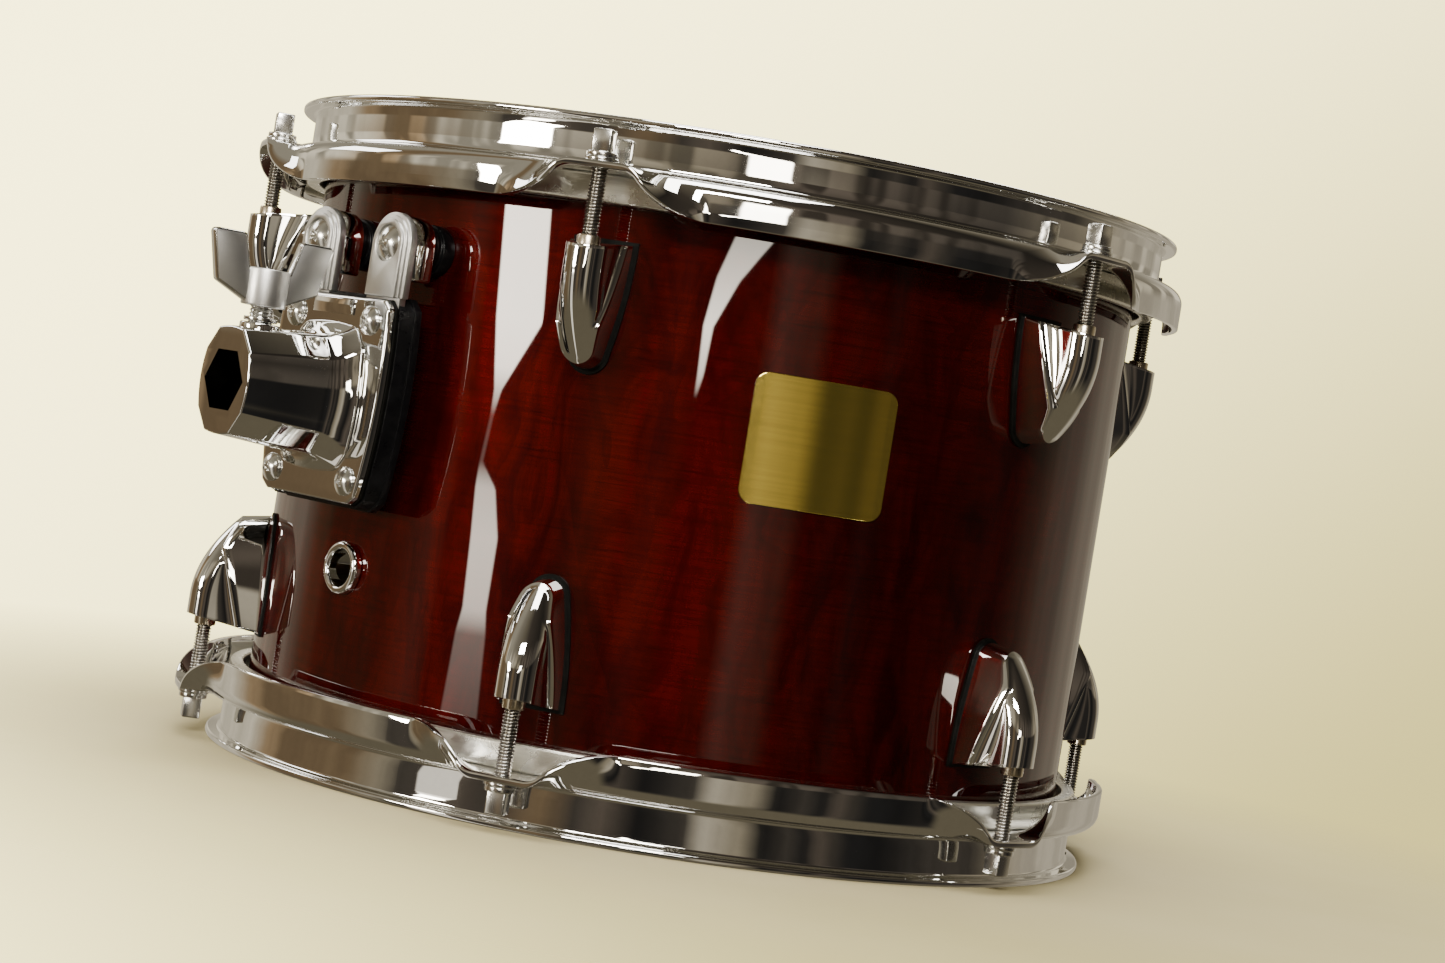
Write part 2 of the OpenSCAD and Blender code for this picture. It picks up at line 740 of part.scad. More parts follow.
module lug() {
    slant = atan(lug_slant / (rod_out + barrel_r));
    pocket_r = nut_d / 2 + run_gap;
    pocket_low = nut_top - nut_h - run_gap;
    pocket_h = nut_h + 2 * run_gap;
    difference() {
        intersection() {
            raise_x(inner_r, rod_r + 2 * barrel_r) lug_outline(0);
            union() {
                lug_cheeks();
                lug_barrel();
            }
        }
        translate([0, 0, lug_tip - over]) cylinder(h = lug_len + 2 * over, r = lug_seat_r);
        translate([shell_r, -lug_w, lug_end])
            rotate([0, slant, 0]) cube([3 * rod_out, 2 * lug_w, lug_len]);
        translate([inner_r, -pocket_r, pocket_low]) cube([rod_r - inner_r, 2 * pocket_r, pocket_h]);
        translate([rod_r, 0, pocket_low]) cylinder(h = pocket_h, r = pocket_r);
        translate([rod_r, 0, nut_top - join]) cylinder(h = nut_drop + over, r = nut_neck_d / 2 + run_gap);
        translate([rod_r, 0, rod_bore_end]) cylinder(h = nut_top - rod_bore_end, r = rod_d / 2 + pass_gap);
        at_lug_screws() rod_x(inner_r, lug_seat_r + lug_screw_grip + over, lug_screw_d / 2 + run_gap);
    }
}

module lug_gasket() {
    difference() {
        intersection() {
            raise_x(inner_r, shell_r + 3 * gasket_t) lug_outline(gasket_show);
            difference() {
                cylinder(h = edge_z, r = shell_r + gasket_t);
                translate([0, 0, -over]) cylinder(h = edge_z + 2 * over, r = shell_r + seat_gap);
            }
        }
        at_lug_screws() rod_x(inner_r, shell_r + 3 * gasket_t, lug_screw_d / 2 + pass_gap);
    }
}

module lug_nut() {
    difference() {
        union() {
            translate([0, 0, nut_top - nut_h]) cylinder(h = nut_h, r = nut_d / 2);
            translate([0, 0, nut_top - join]) cylinder(h = neck_top - nut_top + join, r = nut_neck_d / 2);
        }
        translate([0, 0, nut_top - nut_h - over])
            cylinder(h = neck_top - nut_top + nut_h + 2 * over, r = rod_d / 2 + run_gap);
    }
}

module lug_screw() {
    head_x = lug_washer_x - lug_washer_t - seat_gap;
    at_lug_screws() {
        rod_x(head_x - join, lug_seat_r + lug_screw_grip, lug_screw_d / 2);
        translate([head_x, 0, 0]) mirror([1, 0, 0]) pan_head(lug_screw_head_d, lug_screw_head_h, false);
    }
}

module lug_screw_washer() {
    at_lug_screws()
        difference() {
            rod_x(lug_washer_x - lug_washer_t, lug_washer_x, lug_washer_d / 2);
            rod_x(lug_washer_x - lug_washer_t - over, lug_washer_x + over, lug_screw_d / 2 + pass_gap);
        }
}

module on_both_sides() {
    for (k = LUGS) {
        top_side() at_lug(k) children();
        bottom_side() at_lug(k) children();
    }
}

module top_lug(k) color("lightgray") top_side() at_lug(k) lug();
module bottom_lug(k) color("lightgray") bottom_side() at_lug(k) lug();
module top_lug_gaskets() color("dimgray") for (k = LUGS) top_side() at_lug(k) lug_gasket();
module bottom_lug_gaskets() color("dimgray") for (k = LUGS) bottom_side() at_lug(k) lug_gasket();
module top_lug_nuts() color("tan") for (k = LUGS) top_side() at_rod(k) lug_nut();
module bottom_lug_nuts() color("tan") for (k = LUGS) bottom_side() at_rod(k) lug_nut();
module lug_screws() color("gray") on_both_sides() lug_screw();
module lug_screw_washers() color("gray") on_both_sides() lug_screw_washer();

// Mount bracket

// The plate's outline: bulging sides, level ends and trimmed corners, grown evenly
module plate_outline(grow) {
    half = plate_w / 2 + grow;
    r = plate_side_r;
    intersection() {
        translate([half - r, plate_wide_up]) circle(r);
        translate([r - half, plate_wide_up]) circle(r);
        square([2 * half, plate_h + 2 * grow], center = true);
        translate([0, plate_corner_up]) circle(plate_corner_r + grow);
    }
}

module ear_outline(r, low) {
    circle(r);
    translate([-r, low]) square([2 * r, -low]);
}

module mount_bracket() {
    step_low = plate_top + cushion_grow + pass_gap - plate_drop;
    strip_low = plate_top - plate_drop - strip_r;
    recess_r = ear_head_d / 2 + pass_gap;
    color("tan")
        difference() {
            union() {
                at_plate() raise_x(bracket_x, bracket_front) plate_outline(-cushion_grow);
                at_ears() raise_x(bracket_x, bracket_front) {
                    ear_outline(bracket_ear_r, step_low);
                    ear_outline(strip_r, strip_low);
                }
                at_ears() raise_x(bracket_x, bracket_front + bracket_step_h) ear_outline(strip_r, step_low);
                at_ears() raise_x(bracket_x, bracket_rise) ear_outline(strip_r - bracket_step, step_low);
            }
            at_ears() rod_x(bracket_x - over, bracket_rise + over, ear_screw_d / 2 + pass_gap);
            at_ears() rod_x(ear_seat_x, bracket_rise + over, recess_r);
            at_plate_screws() rod_x(bracket_x - over, bracket_front + over, plate_screw_d / 2 + run_gap);
        }
}

module ear_screws() {
    seat_x = ear_seat_x + seat_gap;
    end_x = ear_washer_x - ear_washer_t - seat_gap - ear_nut_h - ear_screw_past;
    color("silver")
        at_ears() {
            rod_x(end_x, seat_x + join, ear_screw_d / 2);
            translate([seat_x, 0, 0]) pan_head(ear_head_d, ear_head_h);
        }
}

module ear_posts() {
    color("silver")
        at_ears()
            difference() {
                raise_x(post_x, post_x + post_len) ear_outline(bracket_ear_r - post_inset, -post_low);
                rod_x(post_x - over, post_x + post_len + over, ear_screw_d / 2 + pass_gap);
            }
}

// Each bush has a groove between two lips and follows the shell
module ear_bushes() {
    groove_x = (shell_r + bush_x - bush_groove_w) / 2;
    groove_end = groove_x + bush_groove_w;
    color("black")
        difference() {
            at_ears()
                difference() {
                    rod_x(inner_r, bush_x, bush_d / 2);
                    difference() {
                        rod_x(groove_x, groove_end, bush_d);
                        rod_x(groove_x - over, groove_end + over, bush_d / 2 - bush_groove);
                    }
                    rod_x(inner_r - over, bush_x + over, ear_screw_d / 2 + pass_gap);
                }
            translate([0, 0, mid_z]) cylinder(h = 2 * rim_z, r = shell_r + seat_gap, center = true);
        }
}

module ear_washers() {
    color("gray")
        at_ears()
            difference() {
                rod_x(ear_washer_x - ear_washer_t, ear_washer_x, ear_washer_d / 2);
                rod_x(ear_washer_x - ear_washer_t - over, ear_washer_x + over, ear_screw_d / 2 + pass_gap);
            }
}

module ear_nuts() {
    nut_x = ear_washer_x - ear_washer_t - seat_gap - ear_nut_h;
    color("gray")
        at_ears()
            difference() {
                translate([nut_x, 0, 0])
                    rotate([0, 90, 0]) cylinder(h = ear_nut_h, d = ear_nut_w / cos(30), $fn = 6);
                rod_x(nut_x - over, nut_x + ear_nut_h + over, ear_screw_d / 2 + run_gap);
            }
}

// Rubber and receiver

// A tray of rubber behind the bracket, with a rim round its edge and a wider step at the back
module mount_cushion() {
    strip_low = plate_top - plate_drop - strip_r - pass_gap;
    screw_end = bracket_x - plate_screw_past - end_gap;
    color("black")
        difference() {
            at_plate() {
                raise_x(cushion_x, bracket_front) plate_outline(cushion_grow);
                raise_x(cushion_x, cushion_x + cushion_t / 2) plate_outline(cushion_grow + cushion_step);
            }
            at_plate() raise_x(bracket_x - seat_gap, bracket_front + over)
                plate_outline(pass_gap - cushion_grow);
            at_ears() raise_x(bracket_x - seat_gap, bracket_front + over)
                ear_outline(strip_r + pass_gap, strip_low);
            at_plate_screws() rod_x(screw_end, bracket_front, plate_screw_d / 2 + pass_gap);
        }
}

module mount_gasket() {
    color("black")
        difference() {
            at_plate() raise_x(gasket_x, gasket_x + front_gasket_t) plate_outline(front_gasket_grow);
            at_plate_screws() rod_x(gasket_x - over, plate_x + over, plate_screw_d / 2 + pass_gap);
        }
}

// The receiver's tube is a rectangle with its four edges bevelled
module tube_outline(grow) {
    w = receiver_w / 2 + grow;
    h = receiver_h / 2 + grow;
    flat_w = w - receiver_bevel_w;
    flat_h = h - receiver_bevel_h;
    polygon([
        [w, -flat_h], [w, flat_h], [flat_w, h], [-flat_w, h],
        [-w, flat_h], [-w, -flat_h], [-flat_w, -h], [flat_w, -h]
    ]);
}

module socket_outline() circle(d = socket_w / cos(30), $fn = 6);

// The tube widens towards the plate, and its foot leaves room for the screws' heads
module receiver_tube() {
    waist_x = plate_front + waist_h;
    difference() {
        at_plate() {
            hull() {
                raise_x(plate_front - join, plate_front + foot_h) tube_outline(foot_grow);
                raise_x(waist_x, waist_x + join) tube_outline(waist_grow);
            }
            hull() {
                raise_x(waist_x, waist_x + join) tube_outline(waist_grow);
                raise_x(mouth_x - join, mouth_x) tube_outline(0);
            }
        }
        at_plate_screws() rod_x(plate_front, mouth_x, plate_head_d / 2 + pass_gap);
    }
}

module arm_receiver() {
    color("lightgray")
        difference() {
            union() {
                at_plate() raise_x(plate_x, plate_front) plate_outline(0);
                receiver_tube();
                at_plate() translate([0, 0, plate_top - over - pad_h / 2])
                    raise_x(plate_x, plate_front + pad_t) square([pad_w, pad_h], center = true);
                at_plate() translate([bolt_x, 0, 0]) cylinder(h = boss_top, r = boss_d / 2);
            }
            at_plate() raise_x(plate_x - over, mouth_x + over) socket_outline();
            at_plate() translate([bolt_x, 0, 0]) {
                cylinder(h = pocket_top, r = shoe_d / 2 + run_gap);
                cylinder(h = boss_top + over, r = bolt_d / 2 + run_gap);
            }
            at_plate_screws() rod_x(plate_x - over, plate_front + over, plate_screw_d / 2 + pass_gap);
        }
}

module receiver_screws() {
    head_x = plate_front + seat_gap;
    color("silver")
        at_plate_screws() {
            rod_x(bracket_x - plate_screw_past, head_x + join, plate_screw_d / 2);
            translate([head_x, 0, 0]) pan_head(plate_head_d, plate_head_h);
        }
}

// Wing bolt

module clamp_shoe() {
    color("gray")
        at_plate() translate([bolt_x, 0, shoe_z]) cylinder(h = shoe_t, r = shoe_d / 2);
}

// One wing, drawn outwards from the bolt's axis and up from the hub's foot
module wing_outline() {
    high = wing_h - wing_round;
    polygon(concat(
        [[0, wing_foot], [hub_d / 2, wing_foot], [wing_low_out, wing_low_up]],
        arc([wing_span / 2 - wing_round, high], wing_round, 0, 90),
        arc([wing_apart / 2 + wing_round, high], wing_round, 90, 180),
        [[hub_d / 2 - join, hub_h - join], [0, hub_h - join]]
    ));
}

module wing_bolt() {
    tip_z = shoe_top + seat_gap;
    color("silver")
        at_plate() translate([bolt_x, 0, 0]) {
            translate([0, 0, tip_z]) cylinder(h = hub_low - tip_z + join, r = bolt_d / 2);
            translate([0, 0, collar_low]) cylinder(h = collar_h, r = collar_d / 2);
            translate([0, 0, hub_low]) {
                cylinder(h = hub_h, r = hub_d / 2);
                for (side = [0, 180])
                    rotate([90, 0, wing_turn + side])
                        linear_extrude(wing_t, center = true) wing_outline();
            }
        }
}

shell();
badge();
vent_grommet();
vent_backing_ring();
batter_head();
batter_flesh_hoop();
resonant_head();
resonant_flesh_hoop();
top_hoop();
bottom_hoop();
top_rod_washers();
bottom_rod_washers();
for (k = LUGS) {
    top_rod(k);
    bottom_rod(k);
    top_lug(k);
    bottom_lug(k);
}
top_lug_gaskets();
bottom_lug_gaskets();
top_lug_nuts();
bottom_lug_nuts();
lug_screws();
lug_screw_washers();
mount_bracket();
ear_screws();
ear_posts();
ear_bushes();
ear_washers();
ear_nuts();
mount_cushion();
mount_gasket();
arm_receiver();
receiver_screws();
clamp_shoe();
wing_bolt();
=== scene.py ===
import math

import bpy
import numpy as np
from mathutils import Matrix, Quaternion, Vector


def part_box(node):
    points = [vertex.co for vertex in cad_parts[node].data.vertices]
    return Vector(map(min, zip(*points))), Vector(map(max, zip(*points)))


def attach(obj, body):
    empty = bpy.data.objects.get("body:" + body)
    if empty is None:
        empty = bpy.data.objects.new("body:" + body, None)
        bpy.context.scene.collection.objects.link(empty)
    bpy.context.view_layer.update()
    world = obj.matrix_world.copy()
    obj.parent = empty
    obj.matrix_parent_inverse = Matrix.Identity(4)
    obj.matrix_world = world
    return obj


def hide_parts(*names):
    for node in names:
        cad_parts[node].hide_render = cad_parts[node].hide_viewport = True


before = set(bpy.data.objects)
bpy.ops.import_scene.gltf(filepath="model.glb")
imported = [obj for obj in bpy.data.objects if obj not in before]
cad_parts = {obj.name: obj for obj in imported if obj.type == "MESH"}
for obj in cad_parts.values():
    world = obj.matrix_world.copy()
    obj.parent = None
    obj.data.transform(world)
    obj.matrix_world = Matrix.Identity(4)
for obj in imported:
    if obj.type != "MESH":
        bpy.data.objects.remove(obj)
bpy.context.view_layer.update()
mm = 0.001  # pieces are shaped in millimetres and scaled when they are done
print("frame loaded,", len(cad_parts), "nodes")


def corners(node):
    low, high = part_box(node)
    return low / mm, high / mm


# measures that every piece shares, taken from the frame
shellLow, shellHigh = corners("shell")
shellR = shellHigh.x
midZ = (shellLow.z + shellHigh.z) / 2
edgeZ = shellHigh.z - midZ
_, hoopHigh = corners("top_hoop")
rimZ = hoopHigh.z - midZ
earR = hoopHigh.y
fleshLow, fleshHigh = corners("batter_flesh_hoop")
lugSpots = range(1, 7)
lugTurns = []
for k in lugSpots:
    low, high = corners(f"top_rod_{k}")
    centre = (low + high) / 2
    lugTurns.append(math.atan2(centre.y, centre.x))
    rodR = math.hypot(centre.x, centre.y)
    rodLow = low.z - midZ
    rodHigh = high.z - midZ

# every upper piece is shaped at angle 0, above the middle of the shell, and then put in its place
topSide = Matrix.Translation((0, 0, midZ))
bottomSide = topSide @ Matrix.Rotation(math.pi, 4, "X")
sides = {"top": topSide, "bottom": bottomSide}


def atLug(k, side):
    return Matrix.Rotation(lugTurns[k - 1], 4, "Z") @ sides[side]


# hand tools

mergeGap = 0.002  # points closer than this are one
quarter = (0, 0.4, 0.8, 1.2, math.pi / 2)  # places along a rounded edge


def only(piece):
    bpy.ops.object.select_all(action="DESELECT")
    piece.select_set(True)
    bpy.context.view_layer.objects.active = piece


def editAll(piece):
    only(piece)
    bpy.ops.object.mode_set(mode="EDIT")
    bpy.ops.mesh.select_all(action="SELECT")


def editDone():
    bpy.ops.object.mode_set(mode="OBJECT")


# a new primitive, with nothing else selected
def started(add, **settings):
    bpy.ops.object.select_all(action="DESELECT")
    add(**settings)
    return bpy.context.object


def closeSeams(piece):
    editAll(piece)
    bpy.ops.mesh.remove_doubles(threshold=mergeGap)
    bpy.ops.mesh.fill_holes(sides=0)
    bpy.ops.mesh.select_all(action="SELECT")
    bpy.ops.mesh.normals_make_consistent(inside=False)
    editDone()


def spinPiece(name, outline, steps):
    piece = started(bpy.ops.mesh.primitive_circle_add, vertices=len(outline), radius=1)
    piece.name = name
    for vertex, (r, z) in zip(piece.data.vertices, outline):
        vertex.co = (r, 0, z)
    editAll(piece)
    bpy.ops.mesh.spin(steps=steps, angle=math.tau, center=(0, 0, 0), axis=(0, 0, 1))
    editDone()
    closeSeams(piece)
    return piece


# a grid whose rows are laid along the given points
def gridPiece(name, rows):
    along, across = rows.shape[0] - 1, rows.shape[1] - 1
    piece = started(bpy.ops.mesh.primitive_grid_add, x_subdivisions=across, y_subdivisions=along, size=2)
    piece.name = name
    flat = np.empty(len(piece.data.vertices) * 3)
    piece.data.vertices.foreach_get("co", flat)
    u = np.rint((flat[0::3] + 1) / 2 * across).astype(int)
    v = np.rint((flat[1::3] + 1) / 2 * along).astype(int)
    piece.data.vertices.foreach_set("co", rows[v, u].reshape(-1))
    piece.data.update()
    closeSeams(piece)
    return piece


def applied(piece, kind, **settings):
    only(piece)
    modifier = piece.modifiers.new(kind.title(), kind)
    for key, value in settings.items():
        setattr(modifier, key, value)
    bpy.ops.object.modifier_apply(modifier=modifier.name)


# edges sharper than an angle, rounded off
def bevelled(piece, width, segments, angle):
    applied(piece, "BEVEL", width=width, segments=segments, limit_method="ANGLE",
            angle_limit=math.radians(angle))


# a round cutter, standing up or lying along X
def drill(radius, depth, place, around, lying=False):
    turned = (0, math.pi / 2 if lying else 0, 0)
    return started(bpy.ops.mesh.primitive_cylinder_add, vertices=around, radius=radius, depth=depth,
                   location=place, rotation=turned)


def block(size, place):
    piece = started(bpy.ops.mesh.primitive_cube_add, size=1, location=place)
    piece.scale = size
    bpy.ops.object.transform_apply(location=True, rotation=True, scale=True)
    return piece


def cutAway(piece, cutter):
    applied(piece, "BOOLEAN", object=cutter, operation="DIFFERENCE", solver="EXACT")
    bpy.data.objects.remove(cutter)


def copyOf(piece, name, matrix):
    twin = piece.copy()
    twin.data = piece.data.copy()
    twin.name = name
    bpy.context.collection.objects.link(twin)
    twin.data.transform(matrix)
    return twin


def joined(pieces, name):
    only(pieces[0])
    for piece in pieces:
        piece.select_set(True)
    bpy.ops.object.join()
    pieces[0].name = name
    return pieces[0]


# a CAD node's own shape with its edges broken, for parts whose shape is already right
def softened(node, name, width, segments=2, angle=30):
    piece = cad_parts[node].copy()
    piece.data = piece.data.copy()
    piece.parent = None
    for key in list(piece.keys()):
        del piece[key]
    piece.name = name
    bpy.context.collection.objects.link(piece)
    piece.data.transform(Matrix.Scale(1 / mm, 4))
    editAll(piece)
    bpy.ops.mesh.remove_doubles(threshold=mergeGap)
    bpy.ops.mesh.dissolve_limited(angle_limit=math.radians(1))
    bpy.ops.mesh.normals_make_consistent(inside=False)
    editDone()
    bevelled(piece, width, segments, angle)
    return piece


def finishPiece(piece, body, finish, nodes, angle=35):
    piece.data.transform(Matrix.Scale(mm, 4))
    only(piece)
    bpy.ops.object.shade_smooth_by_angle(angle=math.radians(angle))
    if finish:
        piece.data.materials.clear()
        piece.data.materials.append(finish)
    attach(piece, body)
    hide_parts(*nodes)
    return piece


def arc(centre, radius, start, end, steps):
    angles = [math.radians(start + (end - start) * i / steps) for i in range(steps + 1)]
    return [(centre[0] + radius * math.cos(a), centre[1] + radius * math.sin(a)) for a in angles]


# the outer side of a disc with both its edges rounded, from its foot up
def discEdge(radius, low, high, r, steps):
    return arc((radius - r, low + r), r, -90, 0, steps) + arc((radius - r, high - r), r, 0, 90, steps)


# finishes

class Nodes:
    def __init__(self, tree, coordinates):
        self.tree = tree
        self.place = tree.nodes.new("ShaderNodeTexCoord").outputs[coordinates]

    def node(self, kind, inputs=None, **settings):
        made = self.tree.nodes.new("ShaderNode" + kind)
        for key, value in settings.items():
            setattr(made, key, value)
        for key, value in (inputs or {}).items():
            if isinstance(value, bpy.types.NodeSocket):
                self.tree.links.new(value, made.inputs[key])
            else:
                made.inputs[key].default_value = value
        return made

    def noise(self, scale, detail=3, rough=0.5, warp=0):
        mapped = self.node("Mapping", {"Vector": self.place, "Scale": scale}).outputs[0]
        return self.node("TexNoise", {"Vector": mapped, "Scale": 1, "Detail": detail, "Roughness": rough,
                                      "Distortion": warp}).outputs["Fac"]

    def ramp(self, factor, stops):
        made = self.node("ValToRGB", {"Fac": factor})
        while len(made.color_ramp.elements) < len(stops):
            made.color_ramp.elements.new(0.5)
        for element, (position, colour) in zip(made.color_ramp.elements, stops):
            element.position = position
            element.color = (*colour, 1)
        return made.outputs["Color"]

    def spread(self, factor, low, high, start=0.3, end=0.7, **settings):
        inputs = {"Value": factor, "From Min": start, "From Max": end, "To Min": low, "To Max": high}
        return self.node("MapRange", inputs, **settings).outputs["Result"]

    def mix(self, factor, first, second):
        return self.node("Mix", {0: factor, 6: first, 7: second}, data_type="RGBA").outputs[2]

    def maths(self, operation, *values):
        return self.node("Math", dict(enumerate(values)), operation=operation).outputs[0]


class Finish(Nodes):
    def __init__(self, name, **sockets):
        self.material = bpy.data.materials.new(name)
        self.material.use_nodes = True
        super().__init__(self.material.node_tree, "Object")
        self.shader = self.tree.nodes["Principled BSDF"]
        for key, value in sockets.items():
            self.shader.inputs[key.replace("_", " ")].default_value = value

    def feed(self, socket, value):
        self.tree.links.new(value, self.shader.inputs[socket])

    def bump(self, height, strength, distance, socket="Normal"):
        made = self.node("Bump", {"Height": height, "Strength": strength, "Distance": distance})
        self.feed(socket, made.outputs["Normal"])


# deep red gloss lacquer over maple: the grain runs round the shell, the figure stands across it
def makeLacquer():
    look = {"dark": (0.012, 0.0004, 0.0003), "mid": (0.034, 0.0008, 0.0004),
            "light": (0.078, 0.0019, 0.0007), "pore": (0.004, 0.0002, 0.0002), "rings": 8,
            "ripple": 0.000006}
    # part metal, so that the wood's fibres glow towards the light through the dye
    finish = Finish("redLacquer", Roughness=0.42, Metallic=0.5, Specular_IOR_Level=0.0, Coat_Weight=1.0,
                    Specular_Tint=(0.5, 0.02, 0.01, 1), Coat_Roughness=0.012, Coat_IOR=1.55)
    blotch = finish.noise((11, 11, 8), 4, 0.5, 0.7)
    figure = finish.noise((60, 60, 22), 4, 0.6, 1.6)
    grain = finish.noise((34, 34, 800), 5, 0.65)
    pores = finish.noise((80, 80, 1600), 2, 0.5)
    base = finish.ramp(blotch, ((0.3, look["dark"]), (0.5, look["mid"]), (0.7, look["light"])))
    base = finish.mix(0.4, base, finish.ramp(figure, ((0.38, look["dark"]), (0.62, look["light"]))))
    ring = finish.maths("FRACT", finish.maths("MULTIPLY", blotch, look["rings"]))
    base = finish.mix(finish.spread(ring, 0.32, 0.0, 0.0, 0.35), base, (*look["dark"], 1))
    base = finish.mix(finish.spread(grain, 0.0, 0.5, 0.42, 0.7), base, (*look["dark"], 1))
    base = finish.mix(finish.spread(pores, 0.0, 0.4, 0.6, 0.72), base, (*look["pore"], 1))
    finish.feed("Base Color", base)
    finish.bump(finish.noise((70, 70, 14), 2, 0.5), 1.0, look["ripple"], "Coat Normal")
    return finish.material


def makeMaple():
    look = {"pale": (0.62, 0.43, 0.24), "warm": (0.47, 0.29, 0.14), "line": (0.3, 0.17, 0.08)}
    finish = Finish("bareMaple", Roughness=0.5)
    broad = finish.noise((14, 14, 30), 4, 0.55, 0.5)
    grain = finish.noise((22, 22, 560), 5, 0.65)
    base = finish.ramp(broad, ((0.3, look["warm"]), (0.7, look["pale"])))
    base = finish.mix(finish.spread(grain, 0.0, 0.5, 0.5, 0.75), base, (*look["line"], 1))
    finish.feed("Base Color", base)
    finish.feed("Roughness", finish.spread(grain, 0.42, 0.6))
    finish.bump(grain, 0.15, 0.0003)
    return finish.material


# metals differ in colour, in how rough they are and in how much their surface wavers
def makeMetal(name, colour, rough, waver=0.0, brush=None, smear=0.3, sand=0.0, metal=1.0):
    finish = Finish(name, Metallic=metal, Base_Color=(*colour, 1))
    cloud = finish.noise((60, 60, 60), 4, 0.6)
    finish.feed("Roughness", finish.spread(cloud, rough * (1 - smear), rough * (1 + smear)))
    tone = tuple(c * (0.8 if brush else 0.93) for c in colour)
    dust = finish.noise(brush or (320, 320, 320), 5, 0.7)
    finish.feed("Base Color", finish.mix(finish.spread(dust, 0, 1, 0.35, 0.85), (*colour, 1), (*tone, 1)))
    if brush:
        finish.bump(finish.noise(brush, 3, 0.6), 0.5, 0.00005)
    elif sand:
        finish.bump(finish.noise((2200, 2200, 2200), 2, 0.6), 0.6, sand)
    elif waver:
        finish.bump(finish.noise((38, 38, 38), 2, 0.5), 0.35, waver)
    return finish.material


def makeRubber(name, colour, rough, shine):
    finish = Finish(name, Roughness=rough, Specular_IOR_Level=shine)
    dust = finish.noise((180, 180, 180), 5, 0.7)
    pale = tuple(c * 2 + 0.002 for c in colour)
    finish.feed("Base Color", finish.mix(finish.spread(dust, 0, 1, 0.45, 0.8), (*colour, 1), (*pale, 1)))
    finish.feed("Roughness", finish.spread(dust, rough * 0.85, min(1, rough * 1.2)))
    finish.bump(finish.noise((900, 900, 900), 3, 0.6), 0.2, 0.0001)
    return finish.material


# the coating stops short of the collar, so its edge is told by the distance from the axis
def makeCoatedFilm():
    look = {"coat": (0.8, 0.8, 0.77), "worn": (0.7, 0.69, 0.65), "bare": (0.62, 0.61, 0.56), "coatR": 0.1435,
            "soft": 0.0006}
    finish = Finish("coatedFilm", Roughness=0.6, Subsurface_Weight=0.0)
    parts = finish.node("SeparateXYZ", {"Vector": finish.place})
    flat = finish.node("CombineXYZ", {"X": parts.outputs[0], "Y": parts.outputs[1]}).outputs[0]
    away = finish.node("VectorMath", {0: flat}, operation="LENGTH").outputs["Value"]
    past = finish.spread(away, 0, 1, look["coatR"] - look["soft"], look["coatR"] + look["soft"])
    cloud = finish.noise((40, 40, 40), 4, 0.6)
    speck = finish.noise((1600, 1600, 1600), 3, 0.6)
    coat = finish.mix(finish.spread(cloud, 0, 0.35), (*look["coat"], 1), (*look["worn"], 1))
    finish.feed("Base Color", finish.mix(past, coat, (*look["bare"], 1)))
    finish.feed("Roughness", finish.spread(past, 0.68, 0.25, 0, 1))
    finish.bump(speck, 0.35, 0.00012)
    return finish.material


def makeClearFilm():
    finish = Finish("clearFilm", Alpha=0.28, Roughness=0.08, IOR=1.57)
    haze = finish.noise((30, 30, 30), 4, 0.6)
    finish.feed("Base Color", finish.ramp(haze, ((0.3, (0.74, 0.75, 0.76)), (0.7, (0.9, 0.9, 0.89)))))
    finish.feed("Roughness", finish.spread(haze, 0.05, 0.12))
    return finish.material


redLacquer = makeLacquer()
bareMaple = makeMaple()
chrome = makeMetal("mirrorChrome", (0.86, 0.86, 0.85), 0.03, waver=0.00005)
steel = makeMetal("brightSteel", (0.8, 0.8, 0.77), 0.17)
# a darker steel, painted shade for the bottoms of the rods' threads
paintedShadeSteel = makeMetal("paintedShadeSteel", (0.3, 0.28, 0.25), 0.3)
polishedZinc = makeMetal("polishedZinc", (0.78, 0.78, 0.76), 0.17, smear=0.15)
nickel = makeMetal("warmNickel", (0.68, 0.6, 0.46), 0.24)
satinZinc = makeMetal("satinZinc", (0.74, 0.74, 0.72), 0.36, smear=0.08, sand=0.00006)
fleshAluminium = makeMetal("fleshAluminium", (0.85, 0.83, 0.74), 0.28, brush=(30, 30, 2600), smear=0.1,
                           metal=0.95)
badgeBrass = makeMetal("badgeBrass", (0.95, 0.74, 0.16), 0.1, brush=(14, 14, 1100), smear=0.05, metal=0.97)
gasketRubber = makeRubber("gasketRubber", (0.003, 0.003, 0.0025), 0.5, 0.06)
mountRubber = makeRubber("mountRubber", (0.0025, 0.0025, 0.003), 0.3, 0.22)
coatedFilm = makeCoatedFilm()
clearFilm = makeClearFilm()
print("finishes mixed")


# shell

shell = {"wall": 6.0, "edgeInset": 1.6, "edgeBevel": 2.2, "peakRound": 0.5, "skin": 0.2, "steps": 512,
         "ventR": 7.45, "ventSteps": 64, "fineStep": 1.5, "coarseStep": 8.0}


